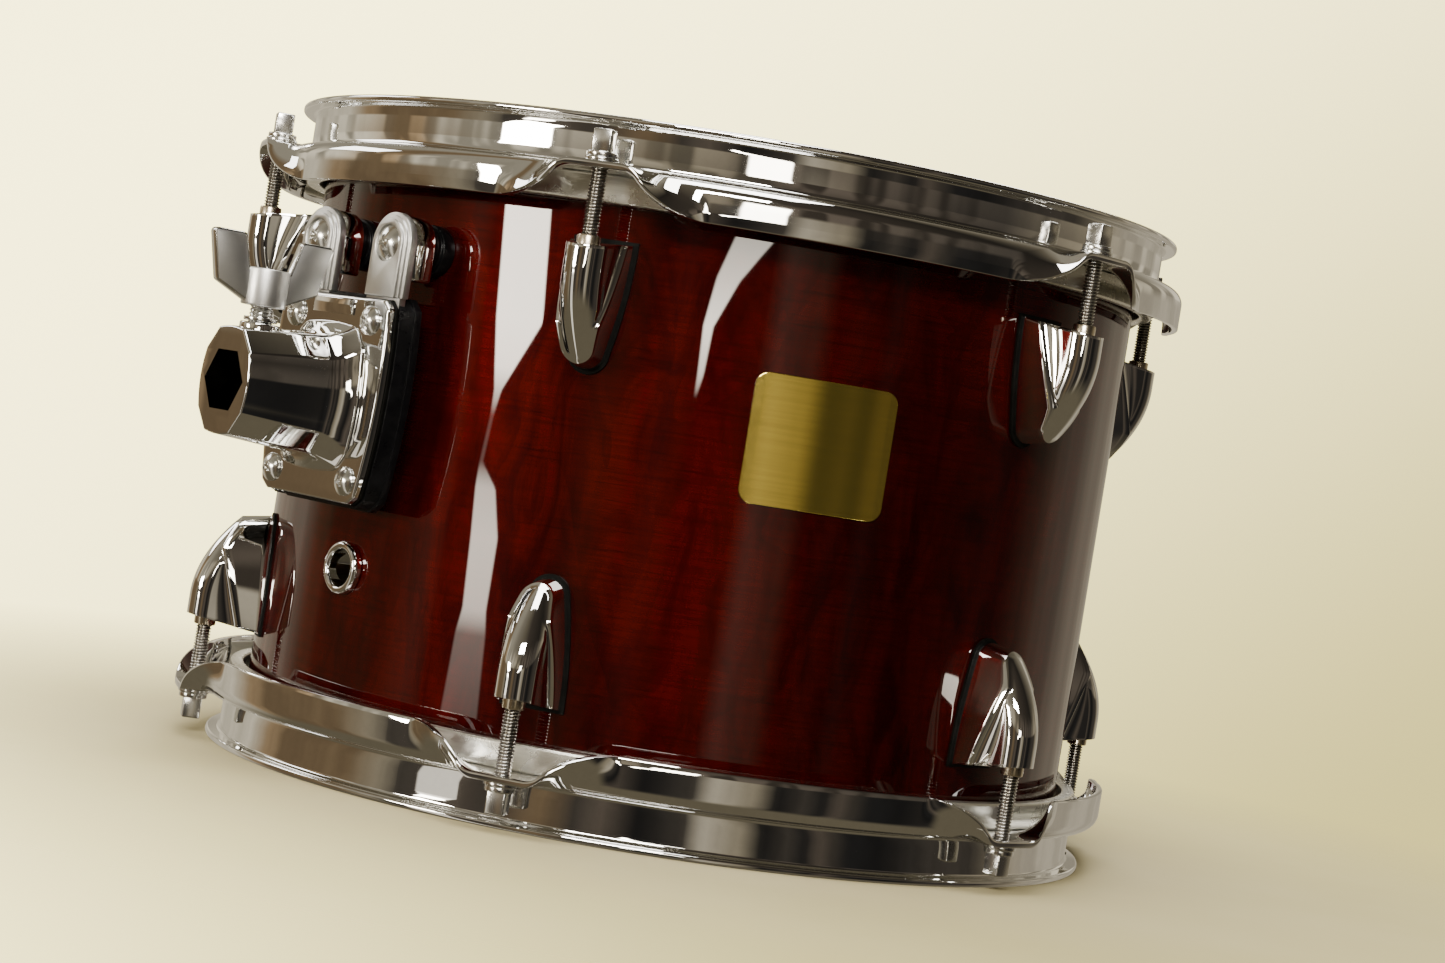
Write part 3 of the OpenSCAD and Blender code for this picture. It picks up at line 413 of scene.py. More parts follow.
def makeShell():
    inner = shellR - shell["wall"]
    peak = shellR - shell["edgeInset"]
    drop = shell["wall"] - shell["edgeInset"]
    ventLow, ventHigh = corners("vent_grommet")
    ventZ = (ventLow.z + ventHigh.z) / 2 - midZ
    levels = [edgeZ - shell["edgeBevel"]]
    while levels[-1] > -edgeZ + shell["edgeBevel"]:
        near = abs(levels[-1] - ventZ) < ventHigh.z - ventLow.z
        levels.append(levels[-1] - (shell["fineStep"] if near else shell["coarseStep"]))
    levels[-1] = -edgeZ + shell["edgeBevel"]
    r = shell["peakRound"]
    crest = [(peak + r, r * 0.6), (peak + r / 3, 0), (peak - r / 3, 0), (peak - r, r * 0.4)]
    outline = [(shellR, z) for z in levels] + [(x, -edgeZ + depth) for x, depth in crest]
    outline += [(inner, -edgeZ + drop)] + [(inner, z) for z in reversed(levels) if abs(z) < edgeZ - drop - 1]
    outline += [(inner, edgeZ - drop)] + [(x, edgeZ - depth) for x, depth in reversed(crest)]
    piece = spinPiece("redShell", outline, shell["steps"])
    ventAt = (-shellR + shell["wall"] / 2, 0, ventZ)
    cutAway(piece, drill(shell["ventR"], 4 * shell["wall"], ventAt, shell["ventSteps"], lying=True))
    piece.data.transform(topSide)
    piece.data.materials.clear()
    piece.data.materials.append(redLacquer)
    piece.data.materials.append(bareMaple)
    for face in piece.data.polygons:
        away = math.hypot(face.center.x, face.center.y)
        face.material_index = 0 if away > shellR - shell["skin"] else 1
    finishPiece(piece, "drum_body", None, ["shell"], angle=25)


makeShell()
print("shell turned")


# heads

head = {"ringW": 4.8, "ringRound": 0.9, "film": 0.3, "filmTop": 0.34, "rings": (40, 80, 120, 140),
        "bendIn": 1.5, "bendR": 1.6, "bendEnd": 42, "innerIn": 0.16, "tailRise": 0.2, "tailSet": 5.0,
        "tailIn": 1.0, "collarSteps": 5, "steps": 360}


def makeHeads():
    peak = shellR - shell["edgeInset"]
    low = edgeZ + head["filmTop"] - head["film"]
    top = edgeZ + head["filmTop"]
    fleshIn = fleshHigh.x - head["ringW"]
    fleshTop = fleshHigh.z - midZ
    tail = fleshIn + head["tailIn"]
    t = head["film"]
    bendR = head["bendR"]
    bend = arc((peak - head["bendIn"], top - bendR), bendR, 90, head["bendEnd"], head["collarSteps"])
    outline = [(0, top)] + [(r, top) for r in head["rings"]] + bend
    outline += [(tail + t, fleshTop + head["tailRise"]), (tail + t, fleshTop - head["tailSet"])]
    outline += [(tail, fleshTop - head["tailSet"]), (tail, fleshTop)]
    outline += [(x - head["innerIn"], z - t) for x, z in reversed(bend)]
    outline += [(r, low) for r in reversed(head["rings"])] + [(0, low)]
    film = spinPiece("film", outline, head["steps"])
    w, h, r = fleshHigh.x - fleshIn, fleshHigh.z - fleshLow.z, head["ringRound"]
    z1 = fleshTop - h
    ring = arc((fleshIn + w - r, fleshTop - r), r, 90, 0, 4) + arc((fleshIn + w - r, z1 + r), r, 0, -90, 4)
    ring += arc((fleshIn + r, z1 + r), r, -90, -180, 4) + arc((fleshIn + r, fleshTop - r), r, 180, 90, 4)
    flesh = spinPiece("flesh", ring, head["steps"])
    for side, name, rim in (("top", "batter", "top_rim"), ("bottom", "resonant", "bottom_rim")):
        skin = copyOf(film, f"{name}Film", sides[side])
        if side == "top":
            finishPiece(skin, rim, coatedFilm, [f"{name}_head"])
        else:
            finishPiece(skin, rim, clearFilm, [f"{name}_head"])
        band = copyOf(flesh, f"{name}FleshRing", sides[side])
        finishPiece(band, rim, fleshAluminium, [f"{name}_flesh_hoop"])
    bpy.data.objects.remove(film)
    bpy.data.objects.remove(flesh)


makeHeads()
print("heads stretched")


# pressed hoops

hoop = {"sheet": 2.3, "wallIn": 156.0, "footBreak": 0.4, "lipReach": 163.1, "lipBend": 1.2,
        "lipRound": 0.9, "fillet": 1.8, "flangeTop": 98.84, "shoulderR": 163.0, "bend": 5.0,
        "apronDrop": 14.0, "earHalf": 8.2, "earShoulder": 6.0, "earFoot": 30.0, "edgeRound": 0.5,
        "holeR": 3.1, "holeSteps": 40, "earSteps": 150, "baySteps": 24, "bendSteps": 10}


# how far the sheet has dropped at a distance to one side of an ear
def earDrop(y):
    fall = hoop["apronDrop"]
    shoulder, foot = hoop["earShoulder"], hoop["earFoot"]
    turn = math.acos(1 - fall / (shoulder + foot))
    across = abs(y) - hoop["earHalf"]
    if across <= 0:
        return 0.0
    if across <= shoulder * math.sin(turn):
        return shoulder - math.sqrt(shoulder ** 2 - across ** 2)
    rest = (shoulder + foot) * math.sin(turn) - across
    if rest <= 0:
        return fall
    return fall - (foot - math.sqrt(foot ** 2 - rest ** 2))


# the sheet's section: fixed wall and lip, and an apron bent down by an angle
def hoopSection(drop):
    s, rho = hoop["sheet"], hoop["bend"]
    apronLen = hoop["apronDrop"] - rho
    earLen = earR - hoop["shoulderR"]

    def straight(a):
        return earLen + (apronLen - earLen) * a / (math.pi / 2)

    low, high = 0.0, math.pi / 2
    for _ in range(40):
        a = (low + high) / 2
        if rho * (1 - math.cos(a)) + straight(a) * math.sin(a) < drop:
            low = a
        else:
            high = a
    bent = (low + high) / 2
    length = straight(bent)
    wallOut = hoop["wallIn"] + s
    lipAt = (wallOut + hoop["lipBend"], rimZ - s - hoop["lipBend"])
    edgeR = hoop["lipRound"]
    lipX = hoop["lipReach"] - edgeR
    top = hoop["flangeTop"]
    wallFoot = (hoop["wallIn"], top - s + hoop["footBreak"])
    points = [wallFoot]
    points += [(hoop["wallIn"], top + i * (lipAt[1] - top) / 4) for i in range(4)]
    points += arc(lipAt, s + hoop["lipBend"], 180, 90, 6)
    points += arc((lipX, rimZ - edgeR), edgeR, 90, 0, 4) + arc((lipX, rimZ - s + edgeR), edgeR, 0, -90, 4)
    points += arc(lipAt, hoop["lipBend"], 90, 180, 4)
    filletTop = top + hoop["fillet"]
    points += [(wallOut, filletTop + i * (lipAt[1] - filletTop) / 4) for i in (3, 2, 1)]
    points += arc((wallOut + hoop["fillet"], filletTop), hoop["fillet"], 180, 270, 4)
    centre = (hoop["shoulderR"], top - rho)
    deg = math.degrees(bent)
    points += arc(centre, rho, 90, 90 - deg, hoop["bendSteps"])
    along = (math.cos(bent), -math.sin(bent))
    off = (math.sin(bent), math.cos(bent))
    edge = hoop["edgeRound"]

    def onSheet(run, depth):
        up = rho - depth
        return (centre[0] + along[0] * run + off[0] * up, centre[1] + along[1] * run + off[1] * up)

    near = edge * 0.3
    points += [onSheet(length * f, 0) for f in (0.3, 0.6)]
    points += [onSheet(length - edge, 0), onSheet(length - near, near), onSheet(length, edge)]
    points += [onSheet(length, s - edge), onSheet(length - near, s - near), onSheet(length - edge, s)]
    points += [onSheet(length * f, s) for f in (0.6, 0.3)]
    points += arc(centre, rho - s, 90 - deg, 90, hoop["bendSteps"])
    points += [(hoop["wallIn"] + hoop["footBreak"], top - s), wallFoot]
    return points


def makeHoops():
    earRun = hoop["earHalf"] + (hoop["earShoulder"] + hoop["earFoot"])
    sector = math.tau / len(lugTurns)
    half = math.asin(earRun / rodR)
    turns = [-half + 2 * half * i / hoop["earSteps"] for i in range(hoop["earSteps"])]
    turns += [half + (sector - 2 * half) * i / hoop["baySteps"] for i in range(hoop["baySteps"])]
    rows = []
    for k in range(len(lugTurns)):
        for turn in turns:
            c, s = math.cos(turn + k * sector), math.sin(turn + k * sector)
            off = turn if turn < sector / 2 else turn - sector
            rows.append([(r * c, r * s, z) for r, z in hoopSection(earDrop(rodR * math.sin(off)))])
    rows.append(rows[0])
    piece = gridPiece("hoop", np.array(rows))
    drills = []
    for k in range(len(lugTurns)):
        place = (rodR * math.cos(k * sector), rodR * math.sin(k * sector), hoop["flangeTop"])
        drills.append(drill(hoop["holeR"], 8 * hoop["sheet"], place, hoop["holeSteps"]))
    cutAway(piece, joined(drills, "drills"))
    for side in sides:
        ring = copyOf(piece, f"{side}Hoop", Matrix.Rotation(lugTurns[0], 4, "Z") @ sides[side])
        finishPiece(ring, f"{side}_rim", chrome, [f"{side}_hoop"], angle=40)
    bpy.data.objects.remove(piece)


makeHoops()
print("hoops pressed")


# lugs

lug = {"rodEnd": 75.5, "length": 41.95, "half": 10.0, "tipR": 6.0, "sideR": 170.0, "seat": 1.04,
       "draft": 0.4, "barrelR": 6.8, "barrelShare": 0.85, "barrelCurve": 47.8, "barrelBack": -23.0,
       "straight": 8.0, "ridgeLow": 7.0, "ridgeRise": 10.0, "ridgeRun": 32.0, "ridgeLap": 1.0,
       "crown": 4.2, "crownW": 7.6, "tiltRod": 3.5, "tiltTip": -3.8, "frontH": 25.0, "crease": 0.28,
       "boreR": 3.9, "boreLen": 14.0, "boreSteps": 48, "stations": 56, "arcSteps": 12, "scoopSteps": 8,
       "wallSteps": 5, "baseSteps": 6}
seatR = shellR + lug["seat"]


def lugHalf(t):
    tangent = (lug["length"] - lug["tipR"]) * lug["sideR"] / (lug["sideR"] - lug["tipR"])
    if t < tangent:
        return lug["half"] - lug["sideR"] + math.sqrt(lug["sideR"] ** 2 - t ** 2)
    back = t - (lug["length"] - lug["tipR"])
    return math.sqrt(max(lug["tipR"] ** 2 - back ** 2, 0.01))


def lugSection(t):
    w = lugHalf(t)
    wr = max(w - lug["draft"], 0.05)
    front = lug["barrelBack"] + math.sqrt(lug["barrelCurve"] ** 2 - max(0, t - lug["straight"]) ** 2)
    rb = min(lug["barrelR"], lug["barrelShare"] * wr)
    c = front - rb
    crown = lug["crown"] * min(1, wr / lug["crownW"]) ** 2
    ridge = min(lug["ridgeLow"] + lug["ridgeRise"] * t / lug["ridgeRun"], front - crown)
    a = math.acos(min(max((ridge + lug["ridgeLap"] - c) / rb, 0.0), 1.0))
    points = [(rb * math.sin(a * i / lug["arcSteps"]), c + rb * math.cos(a * i / lug["arcSteps"]))
              for i in range(lug["arcSteps"] + 1)]
    py, ph = points[-1]
    qy = py + (ph - ridge) / math.tan(a) if a > 0.05 else wr
    qy = min(qy, wr)
    for i in range(1, lug["scoopSteps"] + 1):
        f = i / lug["scoopSteps"]
        points.append(((1 - f) ** 2 * py + 2 * f * (1 - f) * qy + f * f * wr,
                       (1 - f) ** 2 * ph + 2 * f * (1 - f) * ridge + f * f * ridge))
    base = -w * w / (2 * seatR)
    for i in range(1, lug["wallSteps"] + 1):
        f = i / lug["wallSteps"]
        points.append((wr + (w - wr) * f, ridge + (base - ridge) * f))
    for i in range(1, lug["baseSteps"] + 1):
        y = w * (1 - i / lug["baseSteps"])
        points.append((y, -y * y / (2 * seatR)))
    return points


def makeLugs():
    rows = []
    count = lug["stations"]
    for i in range(count + 1):
        t = lug["length"] * math.sin(math.pi / 2 * i / count)
        tilt = lug["tiltRod"] + (lug["tiltTip"] - lug["tiltRod"]) * t / lug["length"]
        right = lugSection(t)
        loop = right + [(-y, h) for y, h in reversed(right[1:-1])] + [right[0]]
        rows.append([(seatR + h, y, lug["rodEnd"] - t - tilt * max(h, 0) / lug["frontH"]) for y, h in loop])
    piece = gridPiece("lug", np.array(rows))
    bevelled(piece, lug["crease"], segments=2, angle=32)
    cutAway(piece, drill(lug["boreR"], lug["boreLen"], (rodR, 0, lug["rodEnd"]), lug["boreSteps"]))
    for side in sides:
        for k in lugSpots:
            body = copyOf(piece, f"{side}Lug{k}", atLug(k, side))
            finishPiece(body, "drum_body", chrome, [f"{side}_lug_{k}"], angle=28)
    bpy.data.objects.remove(piece)


makeLugs()
print("lugs cast")


# tension rods, their washers and the bushes they turn in

rod = {"threadR": 2.75, "threadDepth": 0.62, "pitch": 25.4 / 24, "perTurn": 6, "around": 24, "headW": 6.35,
       "headH": 7.2, "headSink": 0.4, "headEdge": 0.55, "collarR": 5.0, "collarH": 1.8, "collarRound": 0.45,
       "collarLap": 0.5, "washerR": 5.5, "washerT": 1.3, "washerGap": 0.04, "washerRound": 0.35,
       "washerPlay": 0.35, "washerBreak": 0.3}
bush = {"neckR": 3.8, "bodyR": 4.5, "neckTop": 75.6, "bodyTop": 71.0, "bodyLow": 64.0, "boreR": 2.85,
        "chamfer": 0.5}


# painted shade: faces at the bottom of the thread's groove take a darker steel, as shade in the valleys
def shaded(thread, below):
    thread.data.materials.append(steel)
    thread.data.materials.append(paintedShadeSteel)
    for face in thread.data.polygons:
        face.material_index = 1 if math.hypot(face.center.x, face.center.y) < below else 0


def makeRods():
    collarZ = rodHigh - rod["collarH"] - rod["headH"]
    around, perTurn, pitch = rod["around"], rod["perTurn"], rod["pitch"]
    turns = int((collarZ + rod["collarLap"] - rodLow) / pitch)
    rows = []
    for i in range((turns - 1) * perTurn + 1):
        phase = i / perTurn
        radius = rod["threadR"] - rod["threadDepth"] * (0.5 - 0.5 * math.cos(math.tau * phase))
        row = []
        for j in range(around + 1):
            turn = math.tau * j / around
            z = rodLow + (phase + j / around) * pitch
            row.append((radius * math.cos(turn), radius * math.sin(turn), z))
        rows.append(row)
    thread = gridPiece("thread", np.array(rows))
    shaded(thread, rod["threadR"] - rod["threadDepth"] / 2)
    collarTop = collarZ + rod["collarH"]
    collarLine = discEdge(rod["collarR"], collarZ, collarTop, rod["collarRound"], 4)
    collar = spinPiece("collar", [(0, collarZ)] + collarLine + [(0, collarTop)], steps=48)
    sink = rod["headSink"]
    headZ = collarTop + (rod["headH"] - sink) / 2
    square = block((rod["headW"], rod["headW"], rod["headH"] + sink), (0, 0, headZ))
    bevelled(square, rod["headEdge"], segments=3, angle=40)
    for part in (collar, square):
        part.data.materials.append(steel)
    pattern = joined([thread, collar, square], "rod")
    pattern.data.transform(Matrix.Translation((rodR, 0, 0)))
    top = collarZ - rod["washerGap"]
    low = top - rod["washerT"]
    hole = rod["threadR"] + rod["washerPlay"]
    washerLine = [(hole, low)] + discEdge(rod["washerR"], low, top, rod["washerRound"], 3)
    washerLine += [(hole + rod["washerBreak"], top), (hole, top - rod["washerBreak"])]
    washer = spinPiece("washer", washerLine, steps=56)
    washer.data.transform(Matrix.Translation((rodR, 0, 0)))
    b = bush["chamfer"]
    bushLine = [(bush["boreR"], bush["bodyLow"]), (bush["bodyR"], bush["bodyLow"])]
    bushLine += [(bush["bodyR"], bush["bodyTop"]), (bush["neckR"], bush["bodyTop"])]
    bushLine += [(bush["neckR"], bush["neckTop"] - b), (bush["neckR"] - b * 0.3, bush["neckTop"] - b * 0.3)]
    bushLine += [(bush["neckR"] - b, bush["neckTop"])]
    sleeve = spinPiece("sleeve", bushLine + [(bush["boreR"], bush["neckTop"])], steps=48)
    sleeve.data.transform(Matrix.Translation((rodR, 0, 0)))
    for side in sides:
        for k in lugSpots:
            bolt = copyOf(pattern, f"{side}Rod{k}", atLug(k, side))
            finishPiece(bolt, f"{side}_rod_{k}", None, [f"{side}_rod_{k}"], angle=32)
        rings = joined([copyOf(washer, "ring", atLug(k, side)) for k in lugSpots], f"{side}RodWashers")
        finishPiece(rings, f"{side}_rim", steel, [f"{side}_rod_washers"])
        sleeves = joined([copyOf(sleeve, "nut", atLug(k, side)) for k in lugSpots], f"{side}LugBushes")
        finishPiece(sleeves, "drum_body", nickel, [f"{side}_lug_nuts"])
    for spare in (pattern, washer, sleeve):
        bpy.data.objects.remove(spare)


makeRods()
print("rods cut")


# badge, bare brass plate curved to the shell

badge = {"width": 48.5, "height": 42.6, "corner": 4.6, "cornerSteps": 8, "thick": 0.8, "edge": 0.22,
         "cuts": 15, "gap": 0.04}


def makeBadge():
    low, high = corners("badge")
    middle = (low + high) / 2
    turn = math.atan2(middle.y, middle.x)
    piece = started(bpy.ops.mesh.primitive_plane_add, size=1)
    piece.name = "badgePlate"
    piece.scale = (badge["width"], badge["height"], 1)
    bpy.ops.object.transform_apply(location=False, rotation=False, scale=True)
    editAll(piece)
    bpy.ops.mesh.bevel(offset=badge["corner"], offset_type="OFFSET", segments=badge["cornerSteps"],
                       affect="VERTICES")
    for i in range(1, badge["cuts"] + 1):
        x = badge["width"] * (i / (badge["cuts"] + 1) - 0.5)
        bpy.ops.mesh.select_all(action="SELECT")
        bpy.ops.mesh.bisect(plane_co=(x, 0, 0), plane_no=(1, 0, 0))
    bpy.ops.mesh.select_all(action="SELECT")
    bpy.ops.mesh.extrude_region_move(TRANSFORM_OT_translate={"value": (0, 0, badge["thick"])})
    bpy.ops.mesh.select_all(action="SELECT")
    bpy.ops.mesh.normals_make_consistent(inside=False)
    editDone()
    bevelled(piece, badge["edge"], segments=3, angle=50)
    base = shellR + badge["gap"]
    for vertex in piece.data.vertices:
        x, y, z = vertex.co
        swing = turn + math.asin(x / base)
        vertex.co = ((base + z) * math.cos(swing), (base + z) * math.sin(swing), middle.z + y)
    finishPiece(piece, "drum_body", badgeBrass, ["badge"], angle=12)


makeBadge()
print("badge set")


# vent grommet, spun about its own axis

vent = {"boreR": 6.2, "tubeR": 7.4, "flangeR": 9.0, "rise": 3.2, "gap": 0.04, "innerBreak": 0.3,
        "footIn": 0.15, "footRise": 0.2, "outerRound": 1.5, "mouth": 1.3, "steps": 72}


def makeVent():
    low, high = corners("vent_grommet")
    inside, outside = -high.x, -low.x
    seat = outside - vent["rise"] + vent["gap"]
    bore, tube, flange = vent["boreR"], vent["tubeR"], vent["flangeR"]
    m, r, b = vent["mouth"], vent["outerRound"], vent["innerBreak"]
    line = [(bore, inside + b), (bore + b, inside), (tube, inside), (tube, seat)]
    line += [(flange - vent["footIn"], seat), (flange, seat + vent["footRise"])]
    line += arc((flange - r, outside - r), r, 0, 90, 7)
    line += arc((bore + m, outside - m), m, 90, 180, 7)
    piece = spinPiece("ventGrommet", line, vent["steps"])
    centreZ = (low.z + high.z) / 2
    piece.data.transform(Matrix.Translation((0, 0, centreZ)) @ Matrix.Rotation(-math.pi / 2, 4, "Y"))
    finishPiece(piece, "drum_body", chrome, ["vent_grommet"])


makeVent()
print("vent set")


# mount: flat pieces keep the frame's shape with broken edges

mount = {
    "mount_bracket": ("mountBracket", 0.3, "satin_zinc", satinZinc),
    "ear_bushes": ("earBushes", 0.4, "mount_rubber", mountRubber),
    "mount_cushion": ("mountCushion", 0.6, "mount_rubber", mountRubber),
    "mount_gasket": ("mountGasket", 0.2, "gasket_rubber", gasketRubber),
}


def makeMount():
    for node, (name, width, slot, finish) in mount.items():
        piece = softened(node, name, width)
        finishPiece(piece, "drum_body", finish, [node])


post = {"earR": 10.0, "low": 11.4, "edge": 0.6, "foot": 1.2, "holeR": 3.35, "holeLen": 40, "holeSteps": 32,
        "steps": 28, "footSteps": 4}


# stand-off posts: a round top over a square foot, with rounded ends
def makePosts():
    low, high = corners("ear_posts")
    front, back = -low.x, -high.x
    r, e, f = post["earR"], post["edge"], post["foot"]
    earZ = high.z - r
    ends = ((0, e), (e * 0.3, e * 0.3), (e, 0))
    stations = [(back + x, inset) for x, inset in ends] + [(front - x, inset) for x, inset in reversed(ends)]
    rows = []
    for x, inset in stations:
        w, footZ = r - inset, f + inset - post["low"]
        loop = arc((0, 0), w, 0, 180, post["steps"])
        loop += arc((f - w, footZ), f, 180, 270, post["footSteps"])
        loop += arc((w - f, footZ), f, 270, 360, post["footSteps"])
        rows.append([(x, y, z) for y, z in loop + loop[:1]])
    pattern = gridPiece("post", np.array(rows))
    middle = ((front + back) / 2, 0, 0)
    cutAway(pattern, drill(post["holeR"], post["holeLen"], middle, post["holeSteps"], lying=True))
    turned = Matrix.Rotation(math.pi, 4, "Z")
    copies = []
    for y in (low.y + r, high.y - r):
        copies.append(copyOf(pattern, "post", Matrix.Translation((0, y, earZ)) @ turned))
    bpy.data.objects.remove(pattern)
    finishPiece(joined(copies, "earPosts"), "drum_body", chrome, ["ear_posts"])


# the receiver is shaped along the mount's own axis: out from its plate, across and up
receiver = {
    "plateT": 2.7, "plateW": 62.0, "plateH": 67.5, "plateEdge": 0.9, "plateBack": 0.3, "plateRim": 4.0,
    "sideR": 190.0, "wideUp": 9.5, "cornerR": 42.0, "cornerUp": 1.4, "outlineSteps": 480,
    "tubeW": 28.2, "tubeH": 35.4, "bevelW": 7.0, "bevelH": 8.0, "bulge": 1.3, "tubeRound": 1.1,
    "roundGrow": 0.75, "taper": 3.2, "mouthRound": 0.6, "tubeSink": 1.0, "tubeEdge": 0.25,
    "cornerSteps": 6, "crownSteps": 9,
    "footGrow": 7.2, "footH": 0.7, "footRound": 0.3, "flareLen": 11.0, "flarePower": 2.6, "flareSteps": 22,
    "socketW": 19.3, "socketLen": 120.0, "boltIn": 10.4, "bossR": 6.5, "bossH": 2.2, "bossRound": 0.6,
    "padW": 22.0, "padH": 5.2, "padT": 0.8, "padDown": 1.0, "padEdge": 0.25,
    "screwX": 42.0, "screwZ": 53.0, "headRoom": 5.15, "drillLen": 40.0, "drillSteps": 64,
}
receiverLow, receiverHigh = corners("arm_receiver")
plateFront = -receiverHigh.x + receiver["plateT"]
mouthX = -receiverLow.x
plateZ = (receiverLow.z + receiverHigh.z) / 2
atPlate = Matrix.Translation((0, 0, plateZ)) @ Matrix.Rotation(math.pi, 4, "Z")


# how far the plate reaches from its centre: trimmed corners, level ends and bulging sides
def plateReach(turn):
    c, s = math.cos(turn), math.sin(turn)
    lift = receiver["cornerUp"]
    reach = lift * s + math.sqrt(receiver["cornerR"] ** 2 - (lift * c) ** 2)
    if abs(s) > 1e-6:
        reach = min(reach, receiver["plateH"] / 2 / abs(s))
    middle = receiver["sideR"] - receiver["plateW"] / 2
    up = receiver["wideUp"]
    along = up * s - middle * abs(c)
    reach = min(reach, along + math.sqrt(along ** 2 + receiver["sideR"] ** 2 - middle ** 2 - up ** 2))
    return reach


# points along a flat of the tube, swelling outwards in its middle
def crowned(start, corner, run, rise):
    corner = Vector(corner)
    way = corner - start
    end = corner - way.normalized() * run
    out = Vector((way.y, -way.x)).normalized()
    steps = [i / receiver["crownSteps"] for i in range(1, receiver["crownSteps"])]
    return [start.lerp(end, f) + out * rise * (1 - (2 * f - 1) ** 2) for f in steps]


# the tube's outline with rounded corners, grown evenly
def tubeLoop(grow, rounding):
    w, h = receiver["tubeW"] / 2 + grow, receiver["tubeH"] / 2 + grow
    fw, fh = w - receiver["bevelW"], h - receiver["bevelH"]
    side, cap = w - receiver["bulge"], h - receiver["bulge"] / 2
    points = [(side, -fh), (side, fh), (fw, cap), (-fw, cap)]
    points += [(-side, fh), (-side, -fh), (-fw, -cap), (fw, -cap)]
    loop = []
    for i, corner in enumerate(points):
        here = Vector(corner)
        before = (Vector(points[i - 1]) - here).normalized()
        after = (Vector(points[(i + 1) % 8]) - here).normalized()
        half = before.angle(after) / 2
        run = rounding / math.tan(half)
        for j in range(receiver["cornerSteps"] + 1):
            f = j / receiver["cornerSteps"]
            loop.append(here + before * run * (1 - f) ** 2 + after * run * f ** 2)
        if i % 2 == 0:
            loop += crowned(loop[-1], points[i + 1], run, receiver["bulge"] / (1 if i % 4 == 0 else 2))
    return loop


def makePlate():
    steps = receiver["outlineSteps"]
    t, edge, back, rim = (receiver[key] for key in ("plateT", "plateEdge", "plateBack", "plateRim"))
    stations = [(0, rim), (0, back), (back, 0)]
    stations += [(t - edge + edge * math.sin(a), edge - edge * math.cos(a)) for a in quarter] + [(t, rim)]
    rows = []
    for x, inset in stations:
        row = []
        for i in range(steps + 1):
            turn = math.tau * i / steps
            reach = plateReach(turn) - inset
            row.append((plateFront - t + x, reach * math.cos(turn), reach * math.sin(turn)))
        rows.append(row)
    return gridPiece("plate", np.array(rows))


# the tube flares out to its foot, and leaves room for the screws' heads
def makeTube():
    foot, grow, r = receiver["footH"], receiver["footGrow"], receiver["footRound"]
    stations = [(-receiver["tubeSink"], grow)]
    stations += [(foot - r + r * math.sin(a), grow - r + r * math.cos(a)) for a in quarter[:-1]]
    depth = mouthX - plateFront
    run, taper, m = receiver["flareLen"] - foot, receiver["taper"], receiver["mouthRound"]
    for i in range(receiver["flareSteps"] + 1):
        f = i / receiver["flareSteps"]
        x = foot + run * f
        flare = (grow - r - taper) * (1 - f) ** receiver["flarePower"]
        stations.append((x, taper * (1 - x / depth) + flare))
    stations += [(depth - m + m * math.sin(a), -m + m * math.cos(a)) for a in quarter]
    rows = []
    for x, wide in stations:
        loop = tubeLoop(wide, receiver["tubeRound"] + receiver["roundGrow"] * max(wide, 0))
        rows.append([(plateFront + x, p.x, p.y) for p in loop + loop[:1]])
    tube = gridPiece("tube", np.array(rows))
    long = receiver["drillLen"]
    drills = []
    for y in (-receiver["screwX"] / 2, receiver["screwX"] / 2):
        for z in (-receiver["screwZ"] / 2, receiver["screwZ"] / 2):
            place = (plateFront + long / 2, y, z)
            drills.append(drill(receiver["headRoom"], long, place, receiver["drillSteps"], lying=True))
    cutAway(tube, joined(drills, "drills"))
    bevelled(tube, receiver["tubeEdge"], segments=2, angle=48)
    return tube


def makeReceiver():
    plate = makePlate()
    tube = makeTube()
    low = receiver["tubeH"] / 2 - receiver["tubeSink"]
    high = receiver["tubeH"] / 2 + receiver["bossH"]
    b, r = receiver["bossR"], receiver["bossRound"]
    bossLine = [(0, low), (b, low)] + arc((b - r, high - r), r, 0, 90, 4) + [(0, high)]
    boss = spinPiece("boss", bossLine, steps=64)
    boss.data.transform(Matrix.Translation((mouthX - receiver["boltIn"], 0, 0)))
    padZ = receiver["plateH"] / 2 - receiver["padDown"] - receiver["padH"] / 2
    pad = block((2 * receiver["padT"], receiver["padW"], receiver["padH"]), (plateFront, 0, padZ))
    bevelled(pad, receiver["padEdge"], segments=2, angle=40)
    socketR = receiver["socketW"] / 2 / math.cos(math.pi / 6)
    for piece in (plate, tube):
        place = (plateFront + receiver["drillLen"] / 2, 0, 0)
        cutAway(piece, drill(socketR, receiver["socketLen"], place, around=6, lying=True))
    piece = joined([plate, tube, boss, pad], "armReceiver")
    piece.data.transform(atPlate)
    finishPiece(piece, "drum_body", chrome, ["arm_receiver"], angle=30)


screw = {"domeShare": 0.75, "domeSteps": 12, "steps": 64, "rim": 0.3, "edge": 0.14, "slotRise": 0.3,
         "slotDeep": 0.5, "slotTop": (0.55, 0.138), "slotFoot": (0.24, 0.084)}


